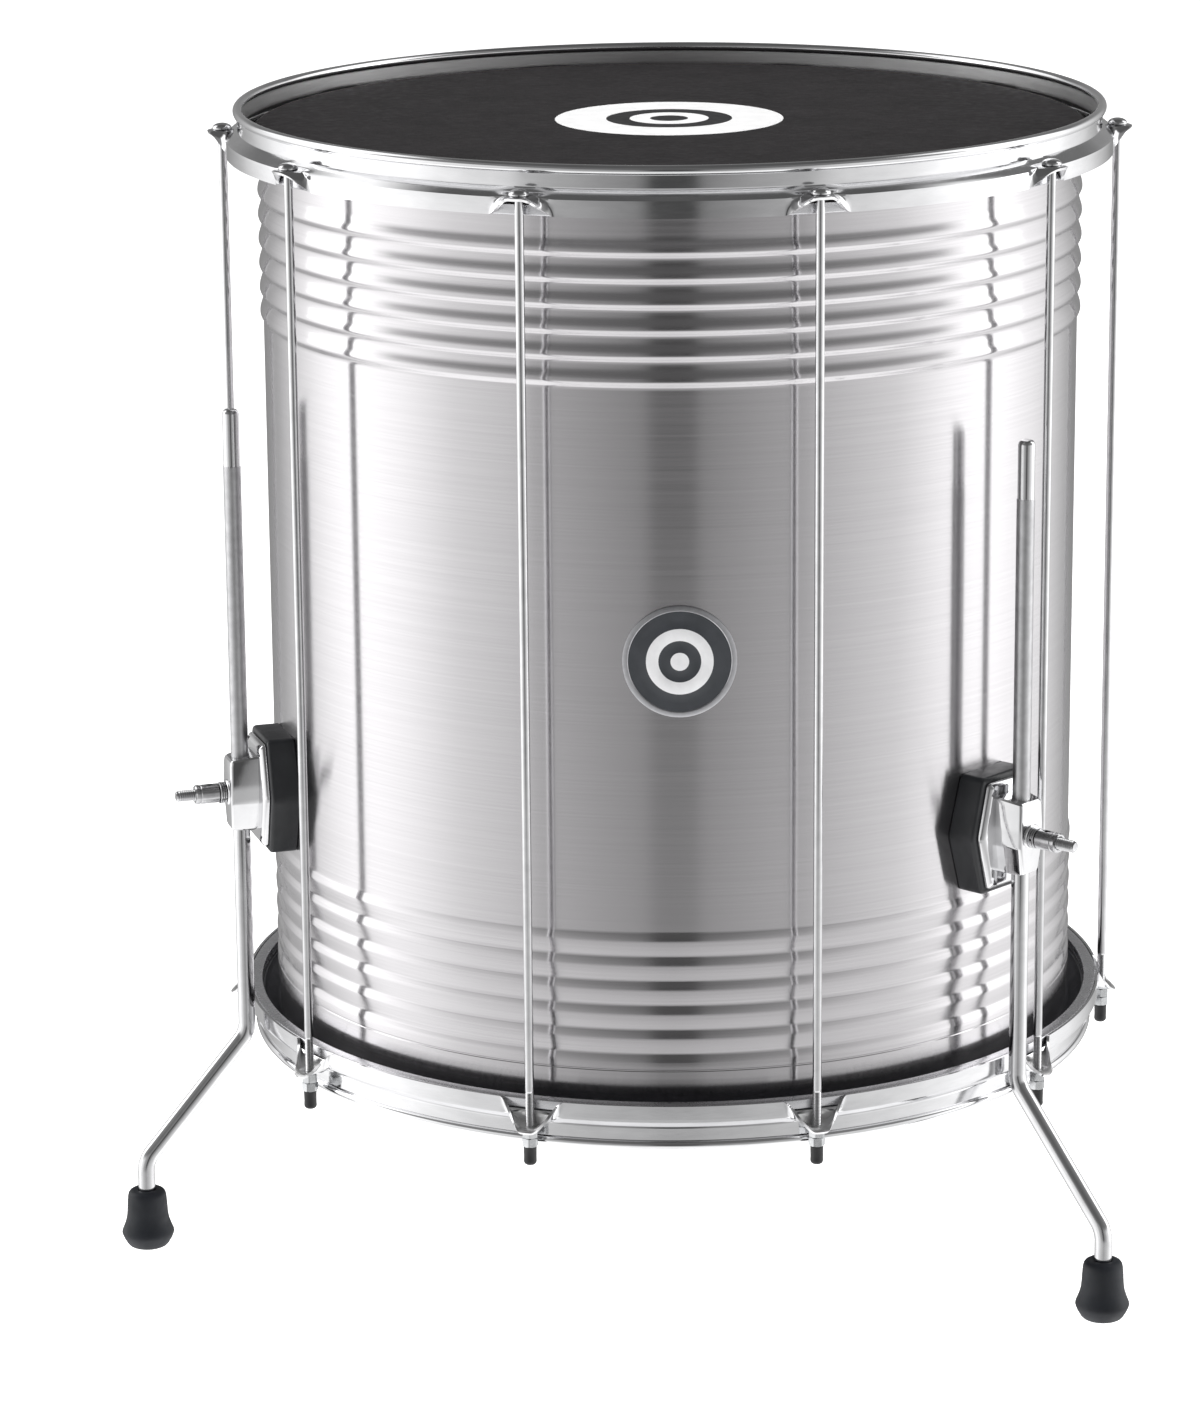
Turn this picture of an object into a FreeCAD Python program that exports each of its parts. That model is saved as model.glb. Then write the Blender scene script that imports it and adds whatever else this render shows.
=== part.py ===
import FreeCAD, Part
import math
import operator
import os
from types import SimpleNamespace

import Sketcher
from FreeCAD import Placement, Rotation, Vector

# A floor-standing bass drum: a ribbed aluminium shell with a skin at each end, two pressed hoops
# pulled together by full-length rods, and three bent legs clamped in brackets on the shell.
# Millimetres, +Z up. The origin is on the floor, under the middle of the whole drum's outline;
# the shell's axis stands a little to one side of it, at axis_x, axis_y, because of the legs.
# Azimuths are degrees round the shell, 0 towards -Y and 90 towards +X.

ROD_COUNT = 10
LEG_COUNT = 3
RIB_COUNT = 6
WASHERS_PER_CLAMP = 3
BACK_TO_X = -90.0          # an azimuth less this is the turn about Z from +X

SIZES = {
    # where the shell's axis stands
    "axis_x": 36.8, "axis_y": -47.4,
    # shell
    "shell_radius": 279.4, "shell_wall": 1.5, "shell_bottom": 147.5, "shell_height": 623.0,
    "rib_pitch": 16.95, "rib_height": 2.2, "rib_start": 633.4,
    "groove_pitch": 16.8, "groove_width": 7.0, "groove_depth": 1.0, "groove_start": 191.7,
    # counter hoops, depths measured from the rim towards the shell's middle
    "top_rim": 785.0, "bottom_rim": 133.0,
    "hoop_sheet": 1.8, "hoop_wall_radius": 294.5, "hoop_lip_radius": 302.5,
    "hoop_bead_radius": 3.25, "hoop_step_start": 16.0, "hoop_step_end": 23.5, "hoop_depth": 32.5,
    # ears that carry the rods
    "ear_reach": 316.0, "ear_width": 15.5, "ear_mouth": 40.0, "ear_hole": 3.4,
    "top_ear_level": 764.2, "bottom_ear_level": 147.0,
    # skins and flesh hoops
    "skin": 0.9, "flesh_inner": 292.0, "flesh_outer": 300.3, "skin_flange_depth": 24.6,
    # rods, nuts, caps
    "rod_circle": 305.6, "rod_radius": 3.0, "rod_end": 125.0, "dome_radius": 6.6, "dome_height": 4.2,
    "nut_circumradius": 5.6, "nut_height": 6.1, "nut_gap": 0.1, "nut_bore": 3.3,
    "lock_bore": 3.06, "cap_radius": 4.4, "cap_bottom": 121.7,
    # badge
    "badge_azimuth": 1.1, "badge_level": 461.0, "badge_radius": 37.2, "badge_thick": 1.1,
    # leg brackets
    "first_leg_azimuth": -72.0, "bracket_level": 323.0, "bracket_face": 297.5,
    "base_half_width": 34.0, "base_end_half": 23.0, "base_half_height": 42.6,
    "flange_half_width": 29.0, "flange_end_half": 19.5, "flange_half_height": 38.0, "flange_thick": 4.0,
    "column_face": 322.4, "column_half_width": 15.5, "column_chamfer": 4.5, "column_half_height": 26.0,
    "slot_half_width": 8.8, "slot_half_height": 4.9, "seat_gap": 0.2,
    # eye bolt, spring washers, clamp nut
    "eye_radius": 8.4, "eye_half_height": 4.6, "bolt_radius": 4.0, "bolt_tip": 357.5,
    "bolt_hole": 4.3, "washer_radius": 7.4, "washer_thick": 1.5, "washer_gap": 0.1,
    "clamp_radius": 6.7, "clamp_length": 17.0, "tommy_hole": 2.2,
    # screws that hold the brackets from inside the shell
    "screw_offset": 18.0, "screw_radius": 3.0, "screw_head_radius": 5.0, "screw_head": 4.0,
    "screw_tip": 304.3, "screw_washer_radius": 7.0, "screw_washer": 1.3, "screw_hole": 3.4,
    # legs and feet
    "leg_circle": 311.8, "leg_radius": 6.0, "leg_hole": 6.3, "leg_top": 590.7,
    "upper_bend_level": 148.6, "lower_bend_level": 61.6, "foot_circle": 386.5, "bend_radius": 20.0,
    "leg_end": 8.0, "foot_height": 41.0, "foot_sole": 13.3, "foot_radius": 18.2, "foot_widest": 9.2,
    "foot_waist": 14.2, "foot_waist_level": 22.0, "foot_neck": 13.2, "foot_bore": 6.05,
}

doc = FreeCAD.newDocument("FloorBassDrum")
sheet = doc.addObject("Spreadsheet::Sheet", "Sizes")
for row, (alias, number) in enumerate(SIZES.items(), start=1):
    sheet.set(f"A{row}", alias)
    sheet.set(f"B{row}", str(number))
    sheet.setAlias(f"B{row}", alias)
doc.recompute()


class Dim:
    """A length that knows both its number and the sheet formula it comes from."""

    def __init__(self, value, formula):
        self.value = value
        self.formula = formula

    def __add__(self, other):
        return combine(self, "+", other)

    def __radd__(self, other):
        return combine(other, "+", self)

    def __sub__(self, other):
        return combine(self, "-", other)

    def __rsub__(self, other):
        return combine(other, "-", self)

    def __mul__(self, other):
        return combine(self, "*", other)

    def __rmul__(self, other):
        return combine(other, "*", self)

    def __truediv__(self, other):
        return combine(self, "/", other)

    def __neg__(self):
        return combine(0.0, "-", self)


OPERATIONS = {"+": operator.add, "-": operator.sub, "*": operator.mul, "/": operator.truediv}


def as_dim(length):
    return length if isinstance(length, Dim) else Dim(float(length), str(float(length)))


def combine(left, sign, right):
    left, right = as_dim(left), as_dim(right)
    value = OPERATIONS[sign](left.value, right.value)
    return Dim(value, f"({left.formula} {sign} {right.formula})")


S = SimpleNamespace(**{alias: Dim(number, f"Sizes.{alias}") for alias, number in SIZES.items()})
SUB_PARTS = []


def bind(item, prop, length):
    """Ties one property of a document object to the sheet."""
    item.setExpression(prop, as_dim(length).formula)


def arc_radius(chord, rise):
    """The radius of an arc with this chord and this height over it."""
    return (chord * chord / 4.0 + rise * rise) / (2.0 * rise)


# ---------------------------------------------------------------- sketches

def new_body(label):
    body = doc.addObject("PartDesign::Body", label)
    body.Label = label
    return body


def origin_feature(body, role):
    return next(item for item in body.Origin.OriginFeatures if item.Role == role)


def new_sketch(body, name, role, offset=0.0):
    """An empty sketch on one of the body's origin planes, moved along its normal by offset."""
    drawing = body.newObject("Sketcher::SketchObject", name)
    drawing.AttachmentSupport = [(origin_feature(body, role), "")]
    drawing.MapMode = "FlatFace"
    if isinstance(offset, Dim) or offset:
        drawing.AttachmentOffset = Placement(Vector(0, 0, as_dim(offset).value), Rotation())
        bind(drawing, "AttachmentOffset.Base.z", offset)
    return drawing


def pin_down(drawing, geometry, end, x, y, name):
    """Fixes one end of a sketch line at x, y, tied to the sheet."""
    for axis, place, vertical in (("X", as_dim(x), True), ("Y", as_dim(y), False)):
        if abs(place.value) < 1e-9:
            drawing.addConstraint(Sketcher.Constraint("PointOnObject", geometry, end, -2 if vertical else -1))
            continue
        kind = "DistanceX" if vertical else "DistanceY"
        index = drawing.addConstraint(Sketcher.Constraint(kind, -1, 1, geometry, end, place.value))
        drawing.renameConstraint(index, f"{name}{axis}")
        bind(drawing, f"Constraints.{name}{axis}", place)


def arc_between(start, end, radius):
    """The short arc from start to end: anticlockwise for a positive radius, else clockwise."""
    chord = end - start
    left = Vector(-chord.y, chord.x, 0).normalize()
    height = math.sqrt(radius * radius - chord.Length ** 2 / 4)
    centre = (start + end) * 0.5 + left * (height if radius > 0 else -height)
    first, last = (start, end) if radius > 0 else (end, start)
    from_angle = math.atan2(first.y - centre.y, first.x - centre.x)
    to_angle = math.atan2(last.y - centre.y, last.x - centre.x)
    if to_angle < from_angle:
        to_angle += 2 * math.pi
    return Part.ArcOfCircle(Part.Circle(centre, Vector(0, 0, 1), abs(radius)), from_angle, to_angle)


def draw_outline(drawing, points, closed=True):
    """Draws lines from point to point; a point (x, y, radius) starts an arc instead of a line."""
    count = len(points) if closed else len(points) - 1
    ends = []
    for index in range(count):
        here, there = points[index], points[(index + 1) % len(points)]
        start = Vector(as_dim(here[0]).value, as_dim(here[1]).value, 0)
        end = Vector(as_dim(there[0]).value, as_dim(there[1]).value, 0)
        if len(here) == 3:
            radius = as_dim(here[2])
            edge = drawing.addGeometry(arc_between(start, end, radius.value), False)
            ends.append((edge, 1, 2) if radius.value > 0 else (edge, 2, 1))
            bend = drawing.addConstraint(Sketcher.Constraint("Radius", edge, abs(radius.value)))
            drawing.renameConstraint(bend, f"bend{index}")
            bind(drawing, f"Constraints.bend{index}", radius if radius.value > 0 else -radius)
        else:
            edge = drawing.addGeometry(Part.LineSegment(start, end), False)
            ends.append((edge, 1, 2))
    for index in range(count if closed else count - 1):
        edge, _, last = ends[index]
        following, first, _ = ends[(index + 1) % count]
        drawing.addConstraint(Sketcher.Constraint("Coincident", edge, last, following, first))
    for index in range(count):
        edge, first, _ = ends[index]
        pin_down(drawing, edge, first, points[index][0], points[index][1], f"p{index}")
    if not closed:
        edge, _, last = ends[-1]
        pin_down(drawing, edge, last, points[-1][0], points[-1][1], f"p{count}")


def draw_circle(drawing, x, y, radius, name="ring"):
    """A full circle centred at x, y."""
    centre = Vector(as_dim(x).value, as_dim(y).value, 0)
    circle = drawing.addGeometry(Part.Circle(centre, Vector(0, 0, 1), as_dim(radius).value), False)
    index = drawing.addConstraint(Sketcher.Constraint("Radius", circle, as_dim(radius).value))
    drawing.renameConstraint(index, name)
    bind(drawing, f"Constraints.{name}", radius)
    pin_down(drawing, circle, 3, x, y, f"{name}Centre")


# ---------------------------------------------------------------- features

def revolve(body, name, points):
    """Spins a closed r, z outline round the body's own Z axis."""
    drawing = new_sketch(body, f"{name}_outline", "XZ_Plane")
    draw_outline(drawing, points)
    turned = body.newObject("PartDesign::Revolution", name)
    turned.Profile = drawing
    turned.ReferenceAxis = (drawing, ["V_Axis"])
    turned.Angle = 360
    return turned


def revolve_circle(body, name, r, z, radius):
    """Spins a small circle round the Z axis: a rolled bead."""
    drawing = new_sketch(body, f"{name}_outline", "XZ_Plane")
    draw_circle(drawing, r, z, radius)
    turned = body.newObject("PartDesign::Revolution", name)
    turned.Profile = drawing
    turned.ReferenceAxis = (drawing, ["V_Axis"])
    turned.Angle = 360
    return turned


def pad(body, name, drawing, length, reverse=False):
    """Adds the drawing's area, length deep."""
    raised = body.newObject("PartDesign::Pad", name)
    raised.Profile = drawing
    bind(raised, "Length", length)
    raised.Reversed = reverse
    return raised


def pocket(body, name, drawing, length, reverse=False):
    """Removes the drawing's area, length deep, and makes sure that something was removed."""
    doc.recompute()
    before = body.Shape.Volume
    cut = body.newObject("PartDesign::Pocket", name)
    cut.Profile = drawing
    bind(cut, "Length", length)
    cut.Reversed = reverse
    doc.recompute()
    if body.Shape.Volume > before - 1.0:
        raise SystemExit(f"{body.Label}: {name} cuts nothing")
    return cut


def polar(body, name, originals, count):
    """Repeats features round the body's Z axis."""
    pattern = body.newObject("PartDesign::PolarPattern", name)
    pattern.Originals = originals
    pattern.Axis = (origin_feature(body, "Z_Axis"), [""])
    pattern.Angle = 360
    pattern.Occurrences = count
    body.Tip = pattern
    return pattern


def cylinder(name, radius, height, base=(0, 0, 0), direction=Vector(0, 0, 1)):
    """A Part cylinder whose size and place follow the sheet."""
    solid = doc.addObject("Part::Cylinder", name)
    bind(solid, "Radius", radius)
    bind(solid, "Height", height)
    place(solid, base, Rotation(Vector(0, 0, 1), direction))
    return solid


def place(item, base, rotation):
    """Puts an object at base, each coordinate tied to the sheet."""
    dims = [as_dim(coordinate) for coordinate in base]
    item.Placement = Placement(Vector(*[dim.value for dim in dims]), rotation)
    for axis, dim in zip("xyz", dims):
        bind(item, f"Placement.Base.{axis}", dim)


def fuse(name, parts):
    joined = doc.addObject("Part::MultiFuse", name)
    joined.Shapes = parts
    return joined


def cut(name, base, tools):
    """Base with every tool taken out of it."""
    tool = tools[0] if len(tools) == 1 else fuse(f"{name}_tools", tools)
    result = doc.addObject("Part::Cut", name)
    result.Base = base
    result.Tool = tool
    return result


def compound(name, links):
    group = doc.addObject("Part::Compound", name)
    group.Links = links
    return group


def finish(item, label, azimuth=90.0):
    """Registers a sub-part and stands it on the shell's axis, its +X turned to the azimuth."""
    item.Label = label
    place(item, (S.axis_x, S.axis_y, 0.0), Rotation(Vector(0, 0, 1), azimuth + BACK_TO_X))
    SUB_PARTS.append(item)
    return item


# ---------------------------------------------------------------- shell and badge

def rib_chain(radius, upward):
    """The raised ribs of the upper zone, seen as points on one face of the wall."""
    bend = arc_radius(S.rib_pitch, S.rib_height)
    levels = [S.rib_start + S.rib_pitch * index for index in range(RIB_COUNT + 1)]
    if not upward:
        levels.reverse()
    bends = [bend if upward else -bend] * RIB_COUNT
    return [(radius, level, turn) for level, turn in zip(levels, bends)] + [(radius, levels[-1])]


def groove_chain(radius, upward):
    """The rolled grooves of the lower zone, seen as points on one face of the wall."""
    bend = arc_radius(S.groove_width, S.groove_depth)
    points = []
    for index in range(RIB_COUNT):
        middle = S.groove_start + S.groove_pitch * index
        low, high = middle - S.groove_width / 2, middle + S.groove_width / 2
        pair = [(radius, low, -bend), (radius, high)] if upward else [(radius, high, bend), (radius, low)]
        points = points + pair if upward else pair + points
    return points


def make_shell():
    inner = S.shell_radius - S.shell_wall
    top = S.shell_bottom + S.shell_height
    body = new_body("shell")
    outline = [(S.shell_radius, S.shell_bottom)]
    outline += groove_chain(S.shell_radius, True) + rib_chain(S.shell_radius, True)
    outline += [(S.shell_radius, top), (inner, top)]
    outline += rib_chain(inner, False) + groove_chain(inner, False)
    outline += [(inner, S.shell_bottom)]
    revolve(body, "wall", outline)
    holes = new_sketch(body, "screw_holes", "YZ_Plane")
    for side in (-1, 1):
        level = S.bracket_level + side * S.screw_offset
        draw_circle(holes, 0.0, level, S.screw_hole, "low" if side < 0 else "high")
    drilled = pocket(body, "screw_hole_pair", holes, S.shell_radius * 1.1, reverse=True)
    polar(body, "screw_hole_pairs", [drilled], LEG_COUNT)
    finish(body, "shell", S.first_leg_azimuth.value)


def make_badge():
    """A thin round plate bent to the shell, at the front."""
    gap = S.seat_gap / 2
    outer = cylinder("badge_outer", S.shell_radius + gap + S.badge_thick, S.badge_radius * 4,
                     (0.0, 0.0, S.badge_level - S.badge_radius * 2))
    inner = cylinder("badge_inner", S.shell_radius + gap, S.badge_radius * 5,
                     (0.0, 0.0, S.badge_level - S.badge_radius * 2.5))
    sleeve = cut("badge_sleeve", outer, [inner])
    punch = cylinder("badge_punch", S.badge_radius, S.shell_radius, (S.shell_radius / 2, 0.0, S.badge_level),
                     Vector(1, 0, 0))
    badge = doc.addObject("Part::Common", "badge")
    badge.Base = sleeve
    badge.Tool = punch
    finish(badge, "shell_badge", S.badge_azimuth.value)


# ---------------------------------------------------------------- hoops, skins

def make_hoop(label, rim, inward, ear_level):
    """A pressed hoop: bead, wall, step and lip, with ten ears bent out of the lip."""

    def level(depth):
        return rim + inward * depth

    body = new_body(label)
    wall_out, lip_out = S.hoop_wall_radius, S.hoop_lip_radius
    wall_in, lip_in = wall_out - S.hoop_sheet, lip_out - S.hoop_sheet
    fold = S.hoop_sheet / 2
    revolve(body, f"{label}_sheet", [
        (wall_in, level(S.hoop_bead_radius)), (wall_out, level(S.hoop_bead_radius)),
        (wall_out, level(S.hoop_step_start)), (lip_out, level(S.hoop_step_end)),
        (lip_out, level(S.hoop_depth)), (lip_in, level(S.hoop_depth)),
        (lip_in, level(S.hoop_step_end + fold)), (wall_in, level(S.hoop_step_start + fold)),
    ])
    bead_middle = wall_out + fold - S.hoop_bead_radius / 2
    revolve_circle(body, f"{label}_bead", bead_middle, level(S.hoop_bead_radius), S.hoop_bead_radius)
    notch = new_sketch(body, f"{label}_notch_outline", "YZ_Plane", S.hoop_wall_radius + S.seat_gap)
    floor = ear_level + S.hoop_sheet / 2
    edge = level(S.hoop_depth + 1.0)
    draw_outline(notch, [(-S.ear_width / 2, floor), (S.ear_width / 2, floor),
                         (S.ear_mouth / 2, edge), (-S.ear_mouth / 2, edge)])
    notched = pocket(body, f"{label}_notch", notch, S.ear_reach - S.hoop_wall_radius, reverse=True)
    tongue = new_sketch(body, f"{label}_tongue_outline", "XY_Plane", ear_level)
    root = S.hoop_wall_radius - S.hoop_sheet / 2
    draw_outline(tongue, [(root, -S.ear_width / 2), (S.ear_reach, -S.ear_width / 2),
                          (S.ear_reach, S.ear_width / 2), (root, S.ear_width / 2)])
    draw_circle(tongue, S.rod_circle, 0.0, S.ear_hole, "rod_hole")
    ear = pad(body, f"{label}_tongue", tongue, S.hoop_sheet)
    polar(body, f"{label}_ears", [notched, ear], ROD_COUNT)
    finish(body, label)


def make_skin(label, rim, inward):
    """A stretched skin: flat over the bearing edge, then down a collar into the hoop's channel."""

    def level(depth):
        return rim + inward * depth

    edge_depth = S.top_rim - S.shell_bottom - S.shell_height
    face = edge_depth - S.skin
    collar_out = S.flesh_inner - 2.0
    body = new_body(label)
    revolve(body, f"{label}_sheet", [
        (0.0, level(face)), (S.shell_radius, level(face)), (S.shell_radius + 3.0, level(face + 0.8)),
        (collar_out, level(face + 6.0)), (collar_out + 1.4, level(S.skin_flange_depth)),
        (S.flesh_outer, level(S.skin_flange_depth)), (S.flesh_outer, level(S.skin_flange_depth + S.skin)),
        (collar_out + 0.6, level(S.skin_flange_depth + S.skin)), (collar_out - 0.8, level(face + 6.6)),
        (S.shell_radius + 2.6, level(face + 1.7)), (S.shell_radius, level(edge_depth)),
        (0.0, level(edge_depth)),
    ])
    finish(body, label)


def make_flesh_hoop(label, rim, inward):
    """The flat ring that the skin is lapped round, lying in the counter hoop's channel."""
    start = rim + inward * (S.skin_flange_depth + S.skin)
    end = rim + inward * S.hoop_depth
    body = new_body(label)
    revolve(body, f"{label}_ring", [
        (S.flesh_inner, start), (S.flesh_outer, start), (S.flesh_outer, end), (S.flesh_inner, end)])
    finish(body, label)


# ---------------------------------------------------------------- rods and nuts

def rod_place(azimuth):
    """Where a rod stands, measured from the shell's axis."""
    angle = f"({azimuth} deg)"
    turn = math.radians(azimuth)
    x = S.rod_circle * Dim(math.sin(turn), f"sin{angle}")
    y = S.rod_circle * Dim(-math.cos(turn), f"(-cos{angle})")
    return x, y


def stand_at_rod(item, azimuth, level=0.0):
    x, y = rod_place(azimuth)
    place(item, (x, y, as_dim(level)), Rotation())
    return item


def stand_alone_at_rod(item, label, azimuth):
    """The same, as a sub-part of its own on the shell's axis."""
    x, y = rod_place(azimuth)
    item.Label = label
    place(item, (S.axis_x + x, S.axis_y + y, 0.0), Rotation())
    SUB_PARTS.append(item)


def make_rod(number, azimuth):
    """A long rod with a domed head that lies on the upper hoop's ear."""
    seat = S.top_ear_level + S.hoop_sheet
    bend = arc_radius(S.dome_radius * 2, S.dome_height)
    body = new_body(f"tension_rod_{number:02d}")
    revolve(body, f"rod_{number:02d}", [
        (0.0, S.rod_end), (S.rod_radius, S.rod_end), (S.rod_radius, seat), (S.dome_radius, seat, bend),
        (0.0, seat + S.dome_height)])
    stand_alone_at_rod(body, f"tension_rod_{number:02d}", azimuth)


def make_hex_nut(name, level, bore):
    """A plain hexagon nut standing on the given level."""
    prism = doc.addObject("Part::Prism", f"{name}_prism")
    prism.Polygon = 6
    bind(prism, "Circumradius", S.nut_circumradius)
    bind(prism, "Height", S.nut_height)
    place(prism, (0.0, 0.0, level), Rotation())
    hole = cylinder(f"{name}_hole", bore, S.nut_height * 2, (0.0, 0.0, level - S.nut_height / 2))
    return cut(name, prism, [hole])


def make_cap(name):
    """A soft round-ended cap over the rod's lower end."""
    top = S.bottom_ear_level - (S.nut_height + S.nut_gap) * 2 - S.nut_gap
    rim = S.rod_radius + 0.05
    shoulder = S.cap_bottom + S.cap_radius
    body = new_body(name)
    revolve(body, f"{name}_wall", [
        (0.0, S.cap_bottom, S.cap_radius + 0.01), (S.cap_radius, shoulder), (S.cap_radius, top), (rim, top),
        (rim, S.rod_end - 0.05), (0.0, S.rod_end - 0.05)])
    return body


def make_rods():
    azimuths = [18.0 + 360.0 / ROD_COUNT * index for index in range(ROD_COUNT)]
    tuning_level = S.bottom_ear_level - S.nut_height - S.nut_gap
    lock_level = tuning_level - S.nut_height - S.nut_gap
    locks, caps = [], []
    for number, azimuth in enumerate(azimuths, start=1):
        make_rod(number, azimuth)
        tuning = make_hex_nut(f"tuning_{number:02d}", tuning_level, S.nut_bore)
        stand_alone_at_rod(tuning, f"tuning_nut_{number:02d}", azimuth)
        locks.append(stand_at_rod(make_hex_nut(f"lock_{number:02d}", lock_level, S.lock_bore), azimuth))
        caps.append(stand_at_rod(make_cap(f"cap_{number:02d}"), azimuth))
    finish(compound("lock_group", locks), "lock_nuts")
    finish(compound("cap_group", caps), "rod_caps")


# ---------------------------------------------------------------- leg brackets

def six_sided(half_width, end_half, half_height, level):
    """A plate outline, widest at its middle, in y, z."""
    return [(-end_half, level - half_height), (end_half, level - half_height), (half_width, level),
            (end_half, level + half_height), (-end_half, level + half_height), (-half_width, level)]


def drill_screws(body, name, depth_from, length):
    """Two screw holes, one over the other, bored outwards from depth_from."""
    drawing = new_sketch(body, f"{name}_outline", "YZ_Plane", depth_from)
    for side in (-1, 1):
        level = S.bracket_level + side * S.screw_offset
        draw_circle(drawing, 0.0, level, S.screw_hole, "low" if side < 0 else "high")
    return pocket(body, name, drawing, length, reverse=True)


def make_base(number, azimuth):
    """The black pad between shell and bracket, hollowed to the shell's curve."""
    body = new_body(f"leg_bracket_base_{number}")
    start = S.shell_radius * 0.9
    drawing = new_sketch(body, f"base_outline_{number}", "YZ_Plane", start)
    draw_outline(drawing, six_sided(S.base_half_width, S.base_end_half, S.base_half_height, S.bracket_level))
    pad(body, f"base_block_{number}", drawing, S.bracket_face - start)
    curve = new_sketch(body, f"base_curve_{number}", "XY_Plane", S.bracket_level - S.base_half_height * 1.1)
    draw_circle(curve, 0.0, 0.0, S.shell_radius + S.seat_gap)
    pocket(body, f"base_hollow_{number}", curve, S.base_half_height * 2.2, reverse=True)
    drill_screws(body, f"base_holes_{number}", start, S.bracket_face - start + 1.0)
    finish(body, f"leg_bracket_base_{number}", azimuth)


def make_bracket(number, azimuth):
    """The cast bracket: a flange and a column bored for the leg, slotted for the eye bolt."""
    body = new_body(f"leg_bracket_{number}")
    face = S.bracket_face + S.seat_gap / 2
    plate = new_sketch(body, f"flange_outline_{number}", "YZ_Plane", face)
    draw_outline(plate, six_sided(S.flange_half_width, S.flange_end_half, S.flange_half_height,
                                  S.bracket_level))
    pad(body, f"flange_{number}", plate, S.flange_thick)
    bottom = S.bracket_level - S.column_half_height
    top_view = new_sketch(body, f"column_outline_{number}", "XY_Plane", bottom)
    half, chamfer = S.column_half_width, S.column_chamfer
    draw_outline(top_view, [(face, -half), (S.column_face - chamfer, -half), (S.column_face, chamfer - half),
                            (S.column_face, half - chamfer), (S.column_face - chamfer, half), (face, half)])
    pad(body, f"column_{number}", top_view, S.column_half_height * 2)
    bore = new_sketch(body, f"leg_bore_outline_{number}", "XY_Plane", bottom - 1.0)
    draw_circle(bore, S.leg_circle, 0.0, S.leg_hole)
    pocket(body, f"leg_bore_{number}", bore, S.column_half_height * 2 + 2.0, reverse=True)
    slot = new_sketch(body, f"eye_slot_outline_{number}", "YZ_Plane", face - 1.0)
    low, high = S.bracket_level - S.slot_half_height, S.bracket_level + S.slot_half_height
    draw_outline(slot, [(-S.slot_half_width, low), (S.slot_half_width, low), (S.slot_half_width, high),
                        (-S.slot_half_width, high)])
    pocket(body, f"eye_slot_{number}", slot, S.leg_circle + S.eye_radius + 0.2 - face + 1.0, reverse=True)
    hole = new_sketch(body, f"bolt_hole_outline_{number}", "YZ_Plane", S.leg_circle)
    draw_circle(hole, 0.0, S.bracket_level, S.bolt_hole)
    pocket(body, f"bolt_hole_{number}", hole, S.column_face - S.leg_circle + 1.0, reverse=True)
    drill_screws(body, f"bracket_holes_{number}", face - 1.0, S.screw_tip - face + 1.2)
    finish(body, f"leg_bracket_{number}", azimuth)


def make_eye_bolt(number, azimuth):
    """The eye that the leg passes through, and its threaded stem, which points outwards."""
    eye = cylinder(f"eye_{number}", S.eye_radius, S.eye_half_height * 2,
                   (S.leg_circle, 0.0, S.bracket_level - S.eye_half_height))
    reach = S.leg_hole + (S.eye_radius - S.leg_hole) / 2
    stem = cylinder(f"stem_{number}", S.bolt_radius, S.bolt_tip - S.leg_circle - reach,
                    (S.leg_circle + reach, 0.0, S.bracket_level), Vector(1, 0, 0))
    opening = cylinder(f"eye_hole_{number}", S.leg_hole, S.eye_half_height * 4,
                       (S.leg_circle, 0.0, S.bracket_level - S.eye_half_height * 2))
    bolt = cut(f"eye_bolt_solid_{number}", fuse(f"eye_and_stem_{number}", [eye, stem]), [opening])
    finish(bolt, f"eye_bolt_{number}", azimuth)


def ring_on_bolt(name, radius, hole, start, length):
    """A ring on the eye bolt's axis."""
    outside = cylinder(f"{name}_outside", radius, length, (start, 0.0, S.bracket_level), Vector(1, 0, 0))
    inside = cylinder(f"{name}_inside", hole, length * 3, (start - length, 0.0, S.bracket_level),
                      Vector(1, 0, 0))
    return cut(name, outside, [inside])


def make_clamp(number, azimuth):
    """Three spring washers on the stem, and the round nut that presses them on the bracket."""
    pitch = S.washer_thick + S.washer_gap
    first = S.column_face + S.washer_gap
    washers = [ring_on_bolt(f"spring_washer_{number}_{index}", S.washer_radius, S.bolt_hole,
                            first + pitch * index, S.washer_thick) for index in range(WASHERS_PER_CLAMP)]
    finish(compound(f"washer_stack_{number}", washers), f"spring_washers_{number}", azimuth)
    start = first + pitch * WASHERS_PER_CLAMP + S.washer_gap
    sleeve = ring_on_bolt(f"clamp_sleeve_{number}", S.clamp_radius, S.bolt_hole, start, S.clamp_length)
    tommy = cylinder(f"tommy_hole_{number}", S.tommy_hole, S.clamp_radius * 2.4,
                     (start + S.clamp_length / 2, 0.0, S.bracket_level - S.clamp_radius * 1.2))
    finish(cut(f"clamp_nut_solid_{number}", sleeve, [tommy]), f"clamp_nut_{number}", azimuth)


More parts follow.
